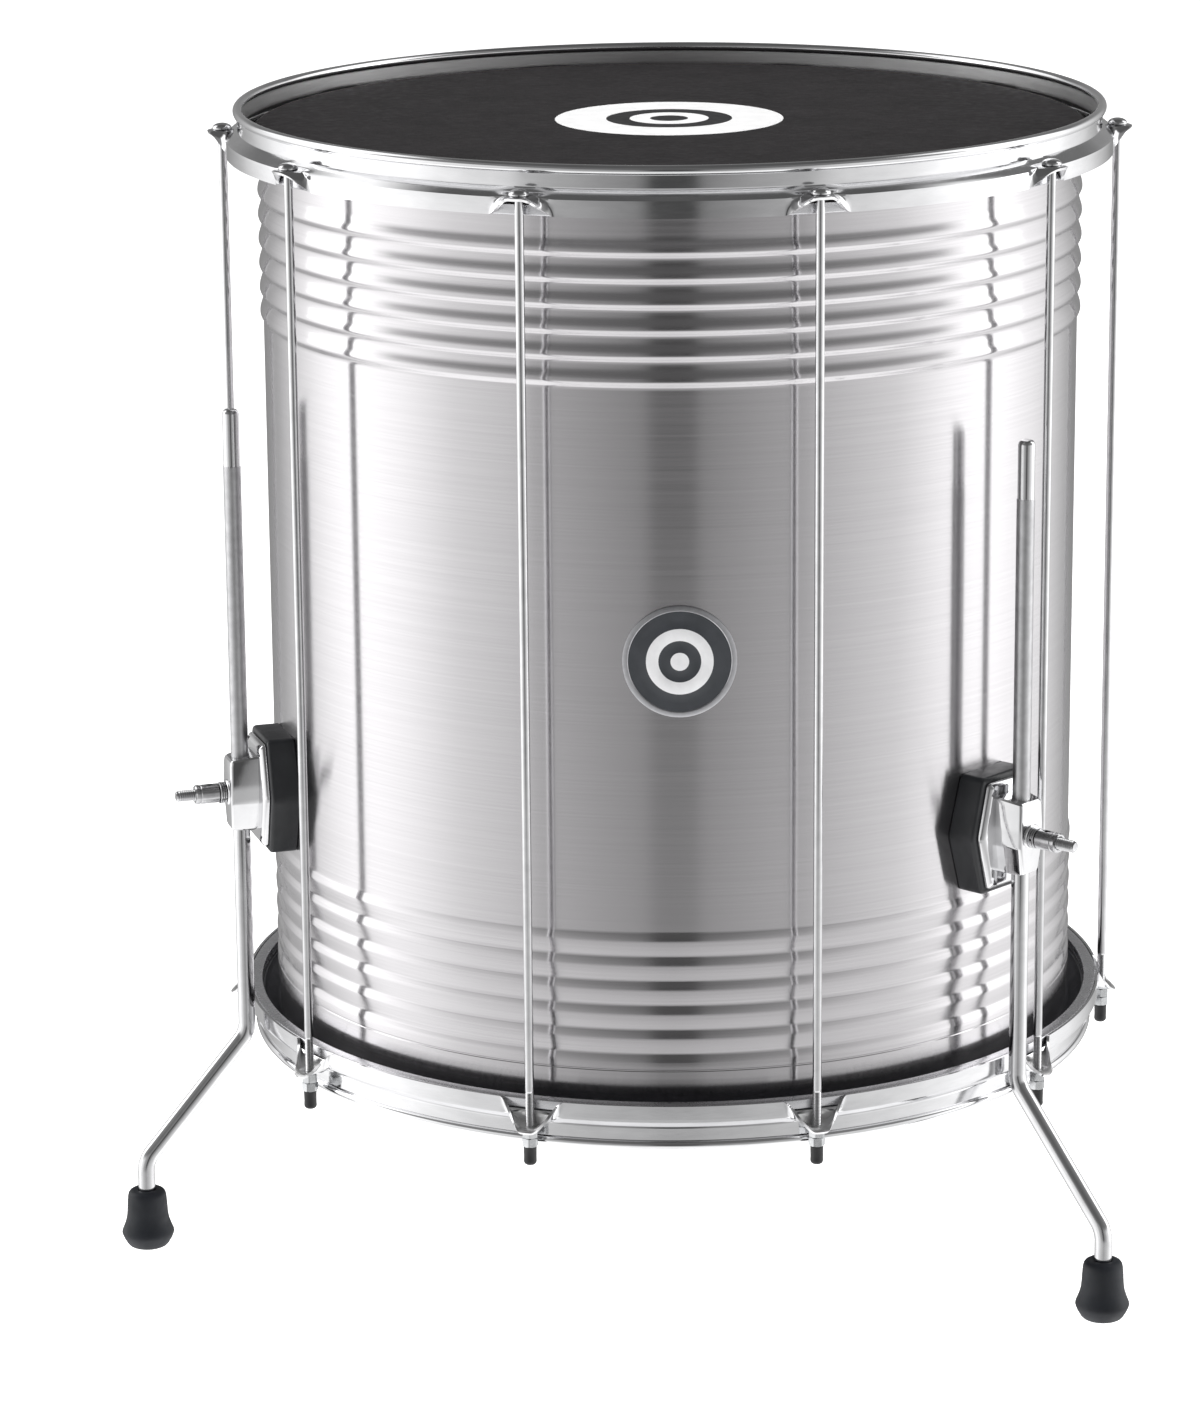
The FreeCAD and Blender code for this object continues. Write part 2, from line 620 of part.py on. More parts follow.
def make_screws(azimuths):
    """Two screws and two washers a bracket, put in from inside the shell."""
    seat = S.shell_radius - S.shell_wall - 0.1
    screws, washers = [], []
    for azimuth in azimuths:
        turn = Rotation(Vector(0, 0, 1), azimuth + BACK_TO_X)
        for side in (-1, 1):
            name = f"{len(screws)}"
            level = S.bracket_level + side * S.screw_offset
            ring_start = seat - S.screw_washer
            head_start = ring_start - 0.1 - S.screw_head
            head = cylinder(f"screw_head_{name}", S.screw_head_radius, S.screw_head,
                            (head_start, 0.0, level), Vector(1, 0, 0))
            shank = cylinder(f"screw_shank_{name}", S.screw_radius, S.screw_tip - head_start - 1.0,
                             (head_start + 1.0, 0.0, level), Vector(1, 0, 0))
            screw = fuse(f"screw_{name}", [head, shank])
            disc = cylinder(f"washer_disc_{name}", S.screw_washer_radius, S.screw_washer,
                            (ring_start, 0.0, level), Vector(1, 0, 0))
            hole = cylinder(f"washer_hole_{name}", S.screw_hole, S.screw_washer * 3,
                            (ring_start - S.screw_washer, 0.0, level), Vector(1, 0, 0))
            washer = cut(f"washer_{name}", disc, [hole])
            screw.Placement = Placement(Vector(), turn)
            washer.Placement = Placement(Vector(), turn)
            screws.append(screw)
            washers.append(washer)
    finish(compound("screw_group", screws), "bracket_screws")
    finish(compound("screw_washer_group", washers), "bracket_washers")


# ---------------------------------------------------------------- legs

def make_leg(number, azimuth):
    """A round rod, straight down past the shell, bent outwards and straight down again."""
    body = new_body(f"leg_{number}")
    run_out = S.foot_circle.value - S.leg_circle.value
    run_down = S.upper_bend_level.value - S.lower_bend_level.value
    slope = math.atan2(run_out, run_down)
    setback = S.bend_radius * Dim(math.tan(slope / 2), f"{math.tan(slope / 2)}")
    along_x = setback * Dim(math.sin(slope), f"{math.sin(slope)}")
    along_z = setback * Dim(math.cos(slope), f"{math.cos(slope)}")
    path = new_sketch(body, f"leg_path_{number}", "XZ_Plane")
    draw_outline(path, [
        (S.leg_circle, S.leg_top), (S.leg_circle, S.upper_bend_level + setback, S.bend_radius),
        (S.leg_circle + along_x, S.upper_bend_level - along_z),
        (S.foot_circle - along_x, S.lower_bend_level + along_z, -S.bend_radius),
        (S.foot_circle, S.lower_bend_level - setback), (S.foot_circle, S.leg_end)], closed=False)
    section = new_sketch(body, f"leg_section_{number}", "XY_Plane", S.leg_top)
    draw_circle(section, S.leg_circle, 0.0, S.leg_radius)
    doc.recompute()
    pipe = body.newObject("PartDesign::AdditivePipe", f"leg_rod_{number}")
    pipe.Profile = section
    pipe.Spine = path
    finish(body, f"leg_{number}", azimuth)


def foot_ring(body, name, level, radius):
    """A circle round the leg's lower end, on the level given."""
    drawing = new_sketch(body, name, "XY_Plane", level)
    draw_circle(drawing, S.foot_circle, 0.0, radius)
    return drawing


def make_foot(number, azimuth):
    """A rubber foot pushed on the leg's end: sole, flare, waist and sleeve, one cone on the other."""
    body = new_body(f"foot_{number}")
    rings = [(0.0, S.foot_sole), (S.foot_widest, S.foot_radius), (S.foot_waist_level, S.foot_waist),
             (S.foot_height, S.foot_neck)]
    for index, (lower, upper) in enumerate(zip(rings, rings[1:])):
        start = foot_ring(body, f"foot_{number}_start_{index}", *lower)
        end = foot_ring(body, f"foot_{number}_end_{index}", *upper)
        doc.recompute()
        cone = body.newObject("PartDesign::AdditiveLoft", f"foot_{number}_cone_{index}")
        cone.Profile = start
        cone.Sections = [end]
    bore = foot_ring(body, f"foot_bore_{number}", S.leg_end - 0.05, S.foot_bore)
    pocket(body, f"foot_socket_{number}", bore, S.foot_height, reverse=True)
    finish(body, f"foot_{number}", azimuth)


# ---------------------------------------------------------------- the drum

make_shell()
make_badge()
make_hoop("top_hoop", S.top_rim, -1, S.top_ear_level)
make_hoop("bottom_hoop", S.bottom_rim, 1, S.bottom_ear_level)
make_skin("batter_head", S.top_rim, -1)
make_skin("resonant_head", S.bottom_rim, 1)
make_flesh_hoop("batter_flesh_hoop", S.top_rim, -1)
make_flesh_hoop("resonant_flesh_hoop", S.bottom_rim, 1)
make_rods()
leg_azimuths = [S.first_leg_azimuth.value + 360.0 / LEG_COUNT * index for index in range(LEG_COUNT)]
for leg_number, leg_azimuth in enumerate(leg_azimuths, start=1):
    make_base(leg_number, leg_azimuth)
    make_bracket(leg_number, leg_azimuth)
    make_eye_bolt(leg_number, leg_azimuth)
    make_clamp(leg_number, leg_azimuth)
    make_leg(leg_number, leg_azimuth)
    make_foot(leg_number, leg_azimuth)
make_screws(leg_azimuths)

doc.recompute()
for item in doc.Objects:
    if "Invalid" in item.State or "Error" in item.State:
        raise SystemExit(f"{item.Label} did not compute: {item.State}")
for item in SUB_PARTS:
    if item.Shape.isNull() or not item.Shape.isValid():
        raise SystemExit(f"{item.Label} has no valid shape")
os.makedirs("parts", exist_ok=True)
for item in SUB_PARTS:
    item.Shape.exportStep(os.path.join("parts", f"{item.Label}.step"))
    print(f"{item.Label:26s} {len(item.Shape.Solids):2d} solids {item.Shape.Volume / 1000.0:10.2f} cm3")
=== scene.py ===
import math

import bmesh
import bpy
import numpy as np
from mathutils import Matrix, Vector


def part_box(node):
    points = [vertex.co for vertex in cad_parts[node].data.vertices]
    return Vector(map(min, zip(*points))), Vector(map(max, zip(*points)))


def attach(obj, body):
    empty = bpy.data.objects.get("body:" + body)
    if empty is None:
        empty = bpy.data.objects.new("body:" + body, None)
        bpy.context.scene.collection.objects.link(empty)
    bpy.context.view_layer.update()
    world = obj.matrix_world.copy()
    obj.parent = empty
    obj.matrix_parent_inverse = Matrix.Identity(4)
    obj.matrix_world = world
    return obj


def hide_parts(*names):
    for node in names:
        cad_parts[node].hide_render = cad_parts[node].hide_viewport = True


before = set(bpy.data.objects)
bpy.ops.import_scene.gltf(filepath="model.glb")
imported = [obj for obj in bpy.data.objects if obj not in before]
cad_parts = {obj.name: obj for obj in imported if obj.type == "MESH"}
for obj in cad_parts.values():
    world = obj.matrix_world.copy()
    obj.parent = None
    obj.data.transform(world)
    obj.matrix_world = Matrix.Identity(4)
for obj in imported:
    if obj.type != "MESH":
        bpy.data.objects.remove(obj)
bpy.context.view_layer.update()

# Shapes below are written in millimetres round the shell's axis: r outwards, t along the shell's
# side, z up from the floor. Azimuth 0 is towards -Y, the front, and 90 towards +X.
MM = 0.001
RODS = range(1, 11)
LEGS = (1, 2, 3)


def middle(node):
    low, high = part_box(node)
    return (low + high) / 2 / MM


def low(node):
    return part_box(node)[0].z / MM


def high(node):
    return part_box(node)[1].z / MM


AXIS = middle("shell")
SHELL_BOTTOM, SHELL_TOP = low("shell"), high("shell")
TOP_RIM, BOTTOM_RIM = high("top_hoop"), low("bottom_hoop")


def azimuth_of(node):
    place = middle(node)
    return math.atan2(place.x - AXIS.x, AXIS.y - place.y)


def radius_of(node):
    place = middle(node)
    return math.hypot(place.x - AXIS.x, place.y - AXIS.y)


ROD_AZIMUTHS = [azimuth_of(f"tension_rod_{n:02d}") for n in RODS]
LEG_AZIMUTHS = [azimuth_of(f"foot_{k}") for k in LEGS]
FOOT_CIRCLE = radius_of("foot_1")
BRACKET_LEVEL = middle("clamp_nut_1").z
SHELL_RADIUS = 279.4
LEG_CIRCLE = 311.8


# ---------------------------------------------------------------- mesh parts
# A part is (vertices, faces, material number of each face).

def grid(points, wrap_rows=False, wrap_cols=False, marks=None):
    """Quads over an array of points [row][column]. marks gives each row of faces its material."""
    points = np.asarray(points, float)
    rows, cols = points.shape[:2]
    row = np.arange(rows if wrap_rows else rows - 1)
    col = np.arange(cols if wrap_cols else cols - 1)
    r0, c0 = np.meshgrid(row, col, indexing="ij")
    r1, c1 = (r0 + 1) % rows, (c0 + 1) % cols
    faces = np.stack([r0 * cols + c0, r0 * cols + c1, r1 * cols + c1, r1 * cols + c0], -1)
    given = np.zeros(len(row), int) if marks is None else np.asarray(marks, int)
    return points.reshape(-1, 3), faces.reshape(-1, 4).tolist(), np.repeat(given, len(col)).tolist()


def merge(*parts):
    verts, faces, marks, start = [], [], [], 0
    for v, f, m in parts:
        verts.append(np.asarray(v, float))
        faces += [[i + start for i in face] for face in f]
        marks += m
        start += len(v)
    return np.concatenate(verts), faces, marks


def moved(part, offset, order=(0, 1, 2)):
    """The part with its axes in another order, then shifted."""
    return part[0][:, list(order)] + np.array(offset, float), part[1], part[2]


def field(levels, radii, segments, closed=False, marks=None):
    """A surface of revolution round Z; radii is a number or an array of one number a segment."""
    turn = np.arange(segments) * 2 * math.pi / segments
    rows = []
    for z, r in zip(levels, radii):
        r = np.broadcast_to(np.asarray(r, float), (segments,))
        rows.append(np.stack([r * np.cos(turn), r * np.sin(turn), np.full(segments, float(z))], -1))
    return grid(rows, wrap_rows=closed, wrap_cols=True, marks=marks)


def lathe(outline, segments, closed=False, marks=None):
    """Spins an outline of (r, z) points round Z."""
    return field([p[1] for p in outline], [p[0] for p in outline], segments, closed, marks)


def arc(r, z, radius, start, end, steps):
    """Points of a circular arc in the r, z plane, angles in degrees from +r towards +z."""
    turns = np.radians(np.linspace(start, end, steps + 1))
    return [(r + radius * math.cos(a), z + radius * math.sin(a)) for a in turns]


def helix_wave(z, segments, pitch):
    """A triangle wave of 0 to 1 that climbs by one pitch a turn, at each segment of a row."""
    phase = (z / pitch - np.arange(segments) / segments) % 1
    return 1 - np.abs(2 * phase - 1)


def threaded(major, minor, z0, z1, pitch, segments):
    """Levels and radii of a screw thread, six levels a turn, to be used as rows of field()."""
    levels = np.arange(z0, z1 + 0.01, pitch / 6)
    return list(levels), [minor + (major - minor) * helix_wave(z, segments, pitch) for z in levels]


def ring_cap(part, ring, flip=False):
    """Closes one ring of vertex numbers with a single face."""
    part[1].append(list(reversed(ring)) if flip else list(ring))
    part[2].append(0)
    return part


def rounded(points, radius, steps=5):
    """A polygon's outline with each corner cut to a smooth curve."""
    made = []
    for i, corner in enumerate(points):
        corner = Vector(corner)
        before, after = Vector(points[i - 1]), Vector(points[(i + 1) % len(points)])
        start = corner + (before - corner).normalized() * min(radius, (before - corner).length / 2)
        end = corner + (after - corner).normalized() * min(radius, (after - corner).length / 2)
        for s in np.linspace(0, 1, steps).tolist():
            made.append(start * (1 - s) ** 2 + corner * 2 * s * (1 - s) + end * s * s)
    return made


def at_azimuth(verts, azimuth):
    """Turns r, t, z into the row frame, in metres."""
    r, t, z = verts[:, 0], verts[:, 1], verts[:, 2]
    x = AXIS.x + r * math.sin(azimuth) + t * math.cos(azimuth)
    y = AXIS.y - r * math.cos(azimuth) + t * math.sin(azimuth)
    return np.stack([x, y, z], -1) * MM


def around_axis(verts):
    return (verts + np.array([AXIS.x, AXIS.y, 0.0])) * MM


WELD, SLIVER = 2e-6, 1e-7                   # metres: points closer than this become one


def mesh_object(name, verts, faces, marks=None):
    """An object of welded points, its faces all turned outwards."""
    mesh = bpy.data.meshes.new(name)
    mesh.from_pydata(verts.tolist(), [], faces)
    if marks is not None:
        mesh.polygons.foreach_set("material_index", marks)
    work = bmesh.new()
    work.from_mesh(mesh)
    bmesh.ops.remove_doubles(work, verts=work.verts, dist=WELD)
    bmesh.ops.dissolve_degenerate(work, edges=work.edges, dist=SLIVER)
    bmesh.ops.recalc_face_normals(work, faces=work.faces)
    work.to_mesh(mesh)
    work.free()
    thing = bpy.data.objects.new(name, mesh)
    bpy.context.scene.collection.objects.link(thing)
    return thing


def drilled(thing, cutters):
    """Takes the cutters, closed mesh objects, out of the thing, and removes them."""
    for cutter in cutters:
        step = thing.modifiers.new("cut", "BOOLEAN")
        step.operation, step.solver, step.object = "DIFFERENCE", "EXACT", cutter
    bpy.context.view_layer.update()
    ready = thing.evaluated_get(bpy.context.evaluated_depsgraph_get())
    made = bpy.data.meshes.new_from_object(ready)
    thing.modifiers.clear()
    thing.data = made
    for cutter in cutters:
        bpy.data.objects.remove(cutter)
    return thing


def finished(thing, materials, body, nodes, angle=35):
    """Shading, materials, and what the piece rides on and stands for."""
    mesh = thing.data
    if len(mesh.materials):                 # clear() would also wipe the faces' material numbers
        mesh.materials.clear()
    for item in materials:
        mesh.materials.append(item)
    mesh.polygons.foreach_set("use_smooth", [True] * len(mesh.polygons))
    mesh.set_sharp_from_angle(angle=math.radians(angle))
    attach(thing, body)
    if nodes:
        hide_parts(*nodes)
    return thing


def piece(name, part, materials, body, nodes, place=around_axis, angle=35):
    thing = mesh_object(name, place(part[0]), part[1], part[2])
    return finished(thing, materials, body, nodes, angle)


# ---------------------------------------------------------------- materials

NOISE_LOW, NOISE_HIGH = 0.3, 0.7            # where most of a noise texture's values lie


class Nodes:
    """Short ways to add shader nodes and link them."""

    def __init__(self, name):
        self.material = bpy.data.materials.new(name)
        self.material.use_nodes = True
        self.tree = self.material.node_tree
        self.shader = self.tree.nodes["Principled BSDF"]
        self.coords = self.tree.nodes.new("ShaderNodeTexCoord").outputs["Object"]

    def link(self, output, socket):
        self.tree.links.new(output, socket)

    def noise(self, scale, detail, stretch=(1, 1, 1), rough=0.55):
        mapping = self.tree.nodes.new("ShaderNodeMapping")
        mapping.inputs["Scale"].default_value = stretch
        self.link(self.coords, mapping.inputs["Vector"])
        texture = self.tree.nodes.new("ShaderNodeTexNoise")
        texture.inputs["Scale"].default_value = scale
        texture.inputs["Detail"].default_value = detail
        texture.inputs["Roughness"].default_value = rough
        self.link(mapping.outputs["Vector"], texture.inputs["Vector"])
        return texture.outputs["Fac"]

    def cells(self, scale):
        texture = self.tree.nodes.new("ShaderNodeTexVoronoi")
        texture.feature = "DISTANCE_TO_EDGE"
        texture.inputs["Scale"].default_value = scale
        self.link(self.coords, texture.inputs["Vector"])
        return texture.outputs["Distance"]

    def colours(self, value, *stops):
        """A colour ramp: stops are (position, (r, g, b))."""
        ramp = self.tree.nodes.new("ShaderNodeValToRGB")
        while len(ramp.color_ramp.elements) < len(stops):
            ramp.color_ramp.elements.new(0.5)
        for element, (position, colour) in zip(ramp.color_ramp.elements, stops):
            element.position = position
            element.color = (*colour, 1.0)
        self.link(value, ramp.inputs["Fac"])
        self.link(ramp.outputs["Color"], self.shader.inputs["Base Color"])

    def two_tone(self, value, dark, light):
        self.colours(value, (NOISE_LOW, dark), (NOISE_HIGH, light))

    def roughness(self, value, smooth, rough):
        ranged = self.tree.nodes.new("ShaderNodeMapRange")
        for name, number in (("From Min", NOISE_LOW), ("From Max", NOISE_HIGH), ("To Min", smooth),
                             ("To Max", rough)):
            ranged.inputs[name].default_value = number
        self.link(value, ranged.inputs["Value"])
        self.link(ranged.outputs["Result"], self.shader.inputs["Roughness"])

    def bump(self, value, height_mm, strength=1.0):
        """Adds relief of this height; a second call lies over the first."""
        bump = self.tree.nodes.new("ShaderNodeBump")
        bump.inputs["Strength"].default_value = strength
        bump.inputs["Distance"].default_value = height_mm * MM
        self.link(value, bump.inputs["Height"])
        normal = self.shader.inputs["Normal"]
        if normal.is_linked:
            self.link(normal.links[0].from_socket, bump.inputs["Normal"])
        self.link(bump.outputs["Normal"], normal)


def metal(name, dark, light, smooth, rough, scale, stretch=(1, 1, 1), bump_mm=0.0):
    """Polished or plated metal with faint smudges; smooth and rough are its roughness range."""
    made = Nodes(name)
    made.shader.inputs["Metallic"].default_value = 1.0
    made.two_tone(made.noise(scale, 5.0, stretch), dark, light)
    made.roughness(made.noise(scale * 2.3, 6.0, stretch, 0.65), smooth, rough)
    if bump_mm:
        made.bump(made.noise(scale * 4.0, 3.0, stretch), bump_mm)
    return made.material


def brushed_aluminium():
    """Aluminium brushed round the shell: fine streaks, and a sheen that spreads up and down."""
    made = Nodes("shell_brushed_aluminium")
    made.shader.inputs["Metallic"].default_value = 1.0
    made.shader.inputs["Anisotropic"].default_value = 0.94
    made.shader.inputs["Anisotropic Rotation"].default_value = 0.25
    streaks = made.noise(1.0, 5.0, (3, 3, 900), 0.65)
    made.colours(streaks, (0.25, (0.575, 0.562, 0.575)), (0.5, (0.605, 0.592, 0.605)),
                 (0.75, (0.640, 0.628, 0.640)))
    made.roughness(made.noise(1.0, 4.0, (4, 4, 420)), 0.16, 0.21)
    made.bump(made.noise(1.0, 2.0, (6, 6, 2200)), 0.006, 0.3)
    return made.material


def napa_head():
    """Black coated cloth with a fine leather grain and a slight sheen."""
    made = Nodes("head_black_napa")
    made.shader.inputs["Sheen Weight"].default_value = 0.02
    made.shader.inputs["Sheen Roughness"].default_value = 0.5
    made.shader.inputs["Specular IOR Level"].default_value = 0.12
    made.two_tone(made.noise(26.0, 8.0, rough=0.7), (0.010, 0.009, 0.0095), (0.018, 0.016, 0.017))
    made.roughness(made.noise(160.0, 4.0), 0.52, 0.74)
    made.bump(made.cells(420.0), 0.10, 0.35)
    made.bump(made.noise(55.0, 5.0), 0.25, 0.35)
    return made.material


def plain(name, dark, light, smooth, rough, scale, bump_mm=0.05, strength=0.4, specular=0.5):
    """A non-metal with fine grain: vinyl, rubber, enamel, ink."""
    made = Nodes(name)
    made.shader.inputs["Specular IOR Level"].default_value = specular
    made.two_tone(made.noise(scale * 0.2, 5.0), dark, light)
    made.roughness(made.noise(scale * 0.5, 4.0), smooth, rough)
    made.bump(made.noise(scale * 3.0, 3.0), bump_mm, strength)
    return made.material


# Metals: darkest and lightest colour, roughness range, the smudges' scale, stretch and relief.
ALUMINIUM = brushed_aluminium()
HOOP_CHROME = metal("hoop_chrome", (0.70, 0.70, 0.71), (0.80, 0.80, 0.81), 0.07, 0.13, 30.0,
                    (1, 1, 4), 0.01)
# The hoop's inside has a satin roughness as its finish. Its colour is lighter than the outside's
# chrome: painted light that brightens the inside where it would render dark.
HOOP_INSIDE_PAINTED_LIGHTER = metal("hoop_inside_satin_painted_lighter", (0.80, 0.80, 0.80), (0.88, 0.88, 0.88), 0.30, 0.42, 30.0,
                    (1, 1, 22), 0.02)
FLESH_METAL = metal("flesh_hoop_aluminium", (0.66, 0.66, 0.68), (0.76, 0.76, 0.78), 0.22, 0.34,
                    60.0, (1, 1, 6), 0.02)
ROD_STEEL = metal("rod_plated_steel", (0.66, 0.66, 0.67), (0.76, 0.76, 0.77), 0.10, 0.18, 90.0)
NUT_STEEL = metal("nut_zinc_steel", (0.58, 0.59, 0.60), (0.70, 0.71, 0.72), 0.20, 0.32, 260.0,
                  bump_mm=0.02)
BRACKET_CHROME = metal("bracket_chrome", (0.72, 0.72, 0.73), (0.82, 0.82, 0.83), 0.05, 0.11, 45.0,
                       bump_mm=0.02)
CLAMP_STEEL = metal("clamp_plated_steel", (0.50, 0.50, 0.51), (0.62, 0.62, 0.63), 0.12, 0.22, 200.0)
SCREW_STEEL = metal("screw_dark_steel", (0.30, 0.30, 0.31), (0.42, 0.42, 0.43), 0.28, 0.42, 200.0)
LEG_CHROME = metal("leg_chrome", (0.68, 0.68, 0.69), (0.78, 0.78, 0.79), 0.09, 0.17, 70.0)
KNURL_CHROME = metal("leg_knurled_chrome", (0.52, 0.52, 0.53), (0.64, 0.64, 0.65), 0.28, 0.38, 160.0)
BADGE_RING = metal("badge_satin_ring", (0.50, 0.50, 0.52), (0.58, 0.58, 0.60), 0.32, 0.42, 300.0)
# Others: the same, then the relief's height and strength, and the gloss.
NAPA = napa_head()
LOWER_SKIN = plain("lower_head_film", (0.030, 0.031, 0.036), (0.045, 0.046, 0.052), 0.34, 0.48,
                   120.0, 0.08)
DISC_WHITE = plain("head_disc_white", (0.78, 0.78, 0.78), (0.86, 0.86, 0.86), 0.55, 0.68, 400.0)
DISC_BLACK = plain("head_disc_black", (0.012, 0.012, 0.013), (0.020, 0.020, 0.021), 0.50, 0.62, 400.0)
BADGE_DARK = plain("badge_dark_enamel", (0.034, 0.038, 0.044), (0.044, 0.048, 0.056), 0.38, 0.48,
                   500.0, 0.02)
BADGE_WHITE = plain("badge_white_enamel", (0.70, 0.70, 0.71), (0.80, 0.80, 0.81), 0.38, 0.48,
                    500.0, 0.02)
PAD_BLACK = plain("bracket_pad_black", (0.012, 0.013, 0.015), (0.022, 0.023, 0.026), 0.30, 0.44,
                  260.0, 0.06)
VINYL = plain("cap_black_vinyl", (0.010, 0.010, 0.011), (0.020, 0.020, 0.021), 0.38, 0.52, 500.0, 0.04)
RUBBER = plain("foot_black_rubber", (0.008, 0.0095, 0.013), (0.016, 0.0185, 0.024), 0.46, 0.62,
               220.0, 0.08, 0.5, 0.4)


# ---------------------------------------------------------------- shell

ROUND = 288                                 # segments of the widest rings
SHELL_WALL = 1.5
RIB_COUNT, RIB_STEPS = 6, 10
FLANK_BEND = 0.75                           # under 1, a flank leaves the wall steeply
LOWER_CREST, LOWER_PITCH, LOWER_RISE = 188.0, 16.8, 1.25
UPPER_CREST, UPPER_PITCH, UPPER_RISE = 644.4, 16.67, 2.2


def rib(crest, above, below, rise, upper_bend=FLANK_BEND, ease=1.0):
    """A rolled rib from its foot up; ease takes the flanks from straight (0) to wavy (1)."""
    def flank(q):
        return (1 - ease) * q + ease * (1 - math.cos(math.pi * q)) / 2

    r = SHELL_RADIUS
    lower = [(r + rise * flank(q) ** FLANK_BEND, crest - below * (1 - q))
             for q in np.linspace(0, 1, RIB_STEPS)]
    upper = [(r + rise * flank(1 - q) ** upper_bend, crest + above * q)
             for q in np.linspace(0, 1, RIB_STEPS + 2)[1:]]
    return lower + upper


def shell_outline():
    """The outer wall from its lower edge up, with two groups of six ribs, then the inner wall."""
    r, swell = SHELL_RADIUS, SHELL_RADIUS + LOWER_RISE
    points = [(r - 0.4, SHELL_BOTTOM), (r, SHELL_BOTTOM + 0.5), (r, SHELL_BOTTOM + 1.5), (r, 166.0)]
    # a swelling with one fine groove leads straight to the first rib's crest
    points += [(swell, 171.0), (swell, 173.0), (swell, 181.8), (swell - 0.4, 182.3),
               (swell - 0.4, 182.9), (swell, 183.4), (swell, 184.5)]
    lower_ribs = [rib(LOWER_CREST + LOWER_PITCH * index, 5.2, 10.5, LOWER_RISE, ease=0.35)
                  for index in range(RIB_COUNT)]
    lower_ribs[0] = lower_ribs[0][RIB_STEPS - 1:]
    for made in lower_ribs:
        points += made
    points += [(r, z) for z in (278.4, 280.5, 300, 400, 500, 600, 630, 638)]
    for index in range(RIB_COUNT):
        points += rib(UPPER_CREST + UPPER_PITCH * index, 10.6, 4.4, UPPER_RISE, upper_bend=1.25)
    inner = r - SHELL_WALL
    return points + [(r, SHELL_TOP - 4.0), (r, SHELL_TOP - 1.5), (r - 0.5, SHELL_TOP - 0.2),
                     (inner, SHELL_TOP), (inner, SHELL_BOTTOM)]


piece("shell_wall", lathe(shell_outline(), ROUND, closed=True), [ALUMINIUM], "drum",
      ["shell"], angle=24)


def curved_badge():
    """A thin plate bent to the shell: satin rim, dark field, and a plain light ring and dot."""
    place = middle("shell_badge")
    azimuth = azimuth_of("shell_badge")
    radius = (high("shell_badge") - low("shell_badge")) / 2
    back, face, rim = 0.12, 0.85, 1.25
    raised = face + 0.12
    # distance from the middle, height over the shell, material of the band that ends here
    bands = [(0.0, raised, 2), (5.8, raised, 2), (6.0, raised, 2), (6.2, face, 1), (13.8, face, 1),
             (14.0, raised, 2), (21.8, raised, 2), (22.0, face, 1), (28.0, face, 1),
             (33.4, face, 1), (33.9, rim, 0), (36.4, rim, 0), (radius - 0.2, rim - 0.3, 0),
             (radius, rim - 0.8, 0), (radius, back, 0), (0.0, back, 0)]
    turn = np.linspace(0, 2 * math.pi, 96, endpoint=False)
    rows = []
    for distance, height, _ in bands:
        t, up = distance * np.cos(turn), distance * np.sin(turn)
        angle = azimuth + t / SHELL_RADIUS
        reach = SHELL_RADIUS + height
        rows.append(np.stack([reach * np.sin(angle), -reach * np.cos(angle), place.z + up], -1))
    return grid(rows, wrap_cols=True, marks=[band[2] for band in bands[1:]])


piece("shell_badge_plate", curved_badge(), [BADGE_RING, BADGE_DARK, BADGE_WHITE], "drum",
      ["shell_badge"])


# ---------------------------------------------------------------- hoops

SHEET, BEAD = 1.8, 3.25
WALL, LIP = 293.6, 301.6                    # the sheet's middle, above and below the step
SHEET_START, SHEET_DEPTH = 3.0, 32.5        # from the rim
STEP_START, STEP_SHARE = 0.44, 0.20         # of the sheet's depth
ROOT, TONGUE = 0.71, 0.29                   # shares of the depth before and in an ear's tongue
EAR_FLAT, EAR_MOUTH, EAR_REACH = 3.6, 22.5, 315.4
TOP_EAR_LEVEL, BOTTOM_EAR_LEVEL = 765.1, 147.9
EAR_FOLD = 23.6                             # depth of the fold that closes a bottom ear's mouth


def smooth(share):
    share = np.clip(share, 0, 1)
    return share * share * (3 - 2 * share)


def hoop_columns():
    """Azimuths of the hoop's columns, close together at the ears, and their angles from an ear."""
    gap = 2 * math.pi / len(ROD_AZIMUTHS)
    near = EAR_MOUTH / LIP
    offsets = np.concatenate([np.linspace(-near, near, 43), np.linspace(near, gap - near, 18)[1:-1]])
    first = ROD_AZIMUTHS[0]
    columns = np.concatenate([first + gap * index + offsets for index in range(len(ROD_AZIMUTHS))])
    return columns, np.concatenate([offsets] * len(ROD_AZIMUTHS))


def ear_knots(ear_depth, folded):
    """The middle of an ear down to its tongue, as (share, r, depth)."""
    knots = [(0.0, WALL, SHEET_START), (0.40, WALL, 15.0), (0.44, WALL + 0.3, 15.9)]
    if folded:
        knots += [(0.56, WALL + 5.6, EAR_FOLD - 0.8), (0.59, WALL + 6.4, EAR_FOLD),
                  (0.62, WALL + 6.6, EAR_FOLD - 0.9), (0.68, WALL + 6.0, ear_depth + 0.9),
                  (ROOT, WALL + 6.7, ear_depth)]
    else:
        knots += [(0.54, WALL + 4.0, ear_depth - 0.7), (0.62, WALL + 6.0, ear_depth),
                  (ROOT, WALL + 7.5, ear_depth)]
    return [np.array(column) for column in zip(*knots)]


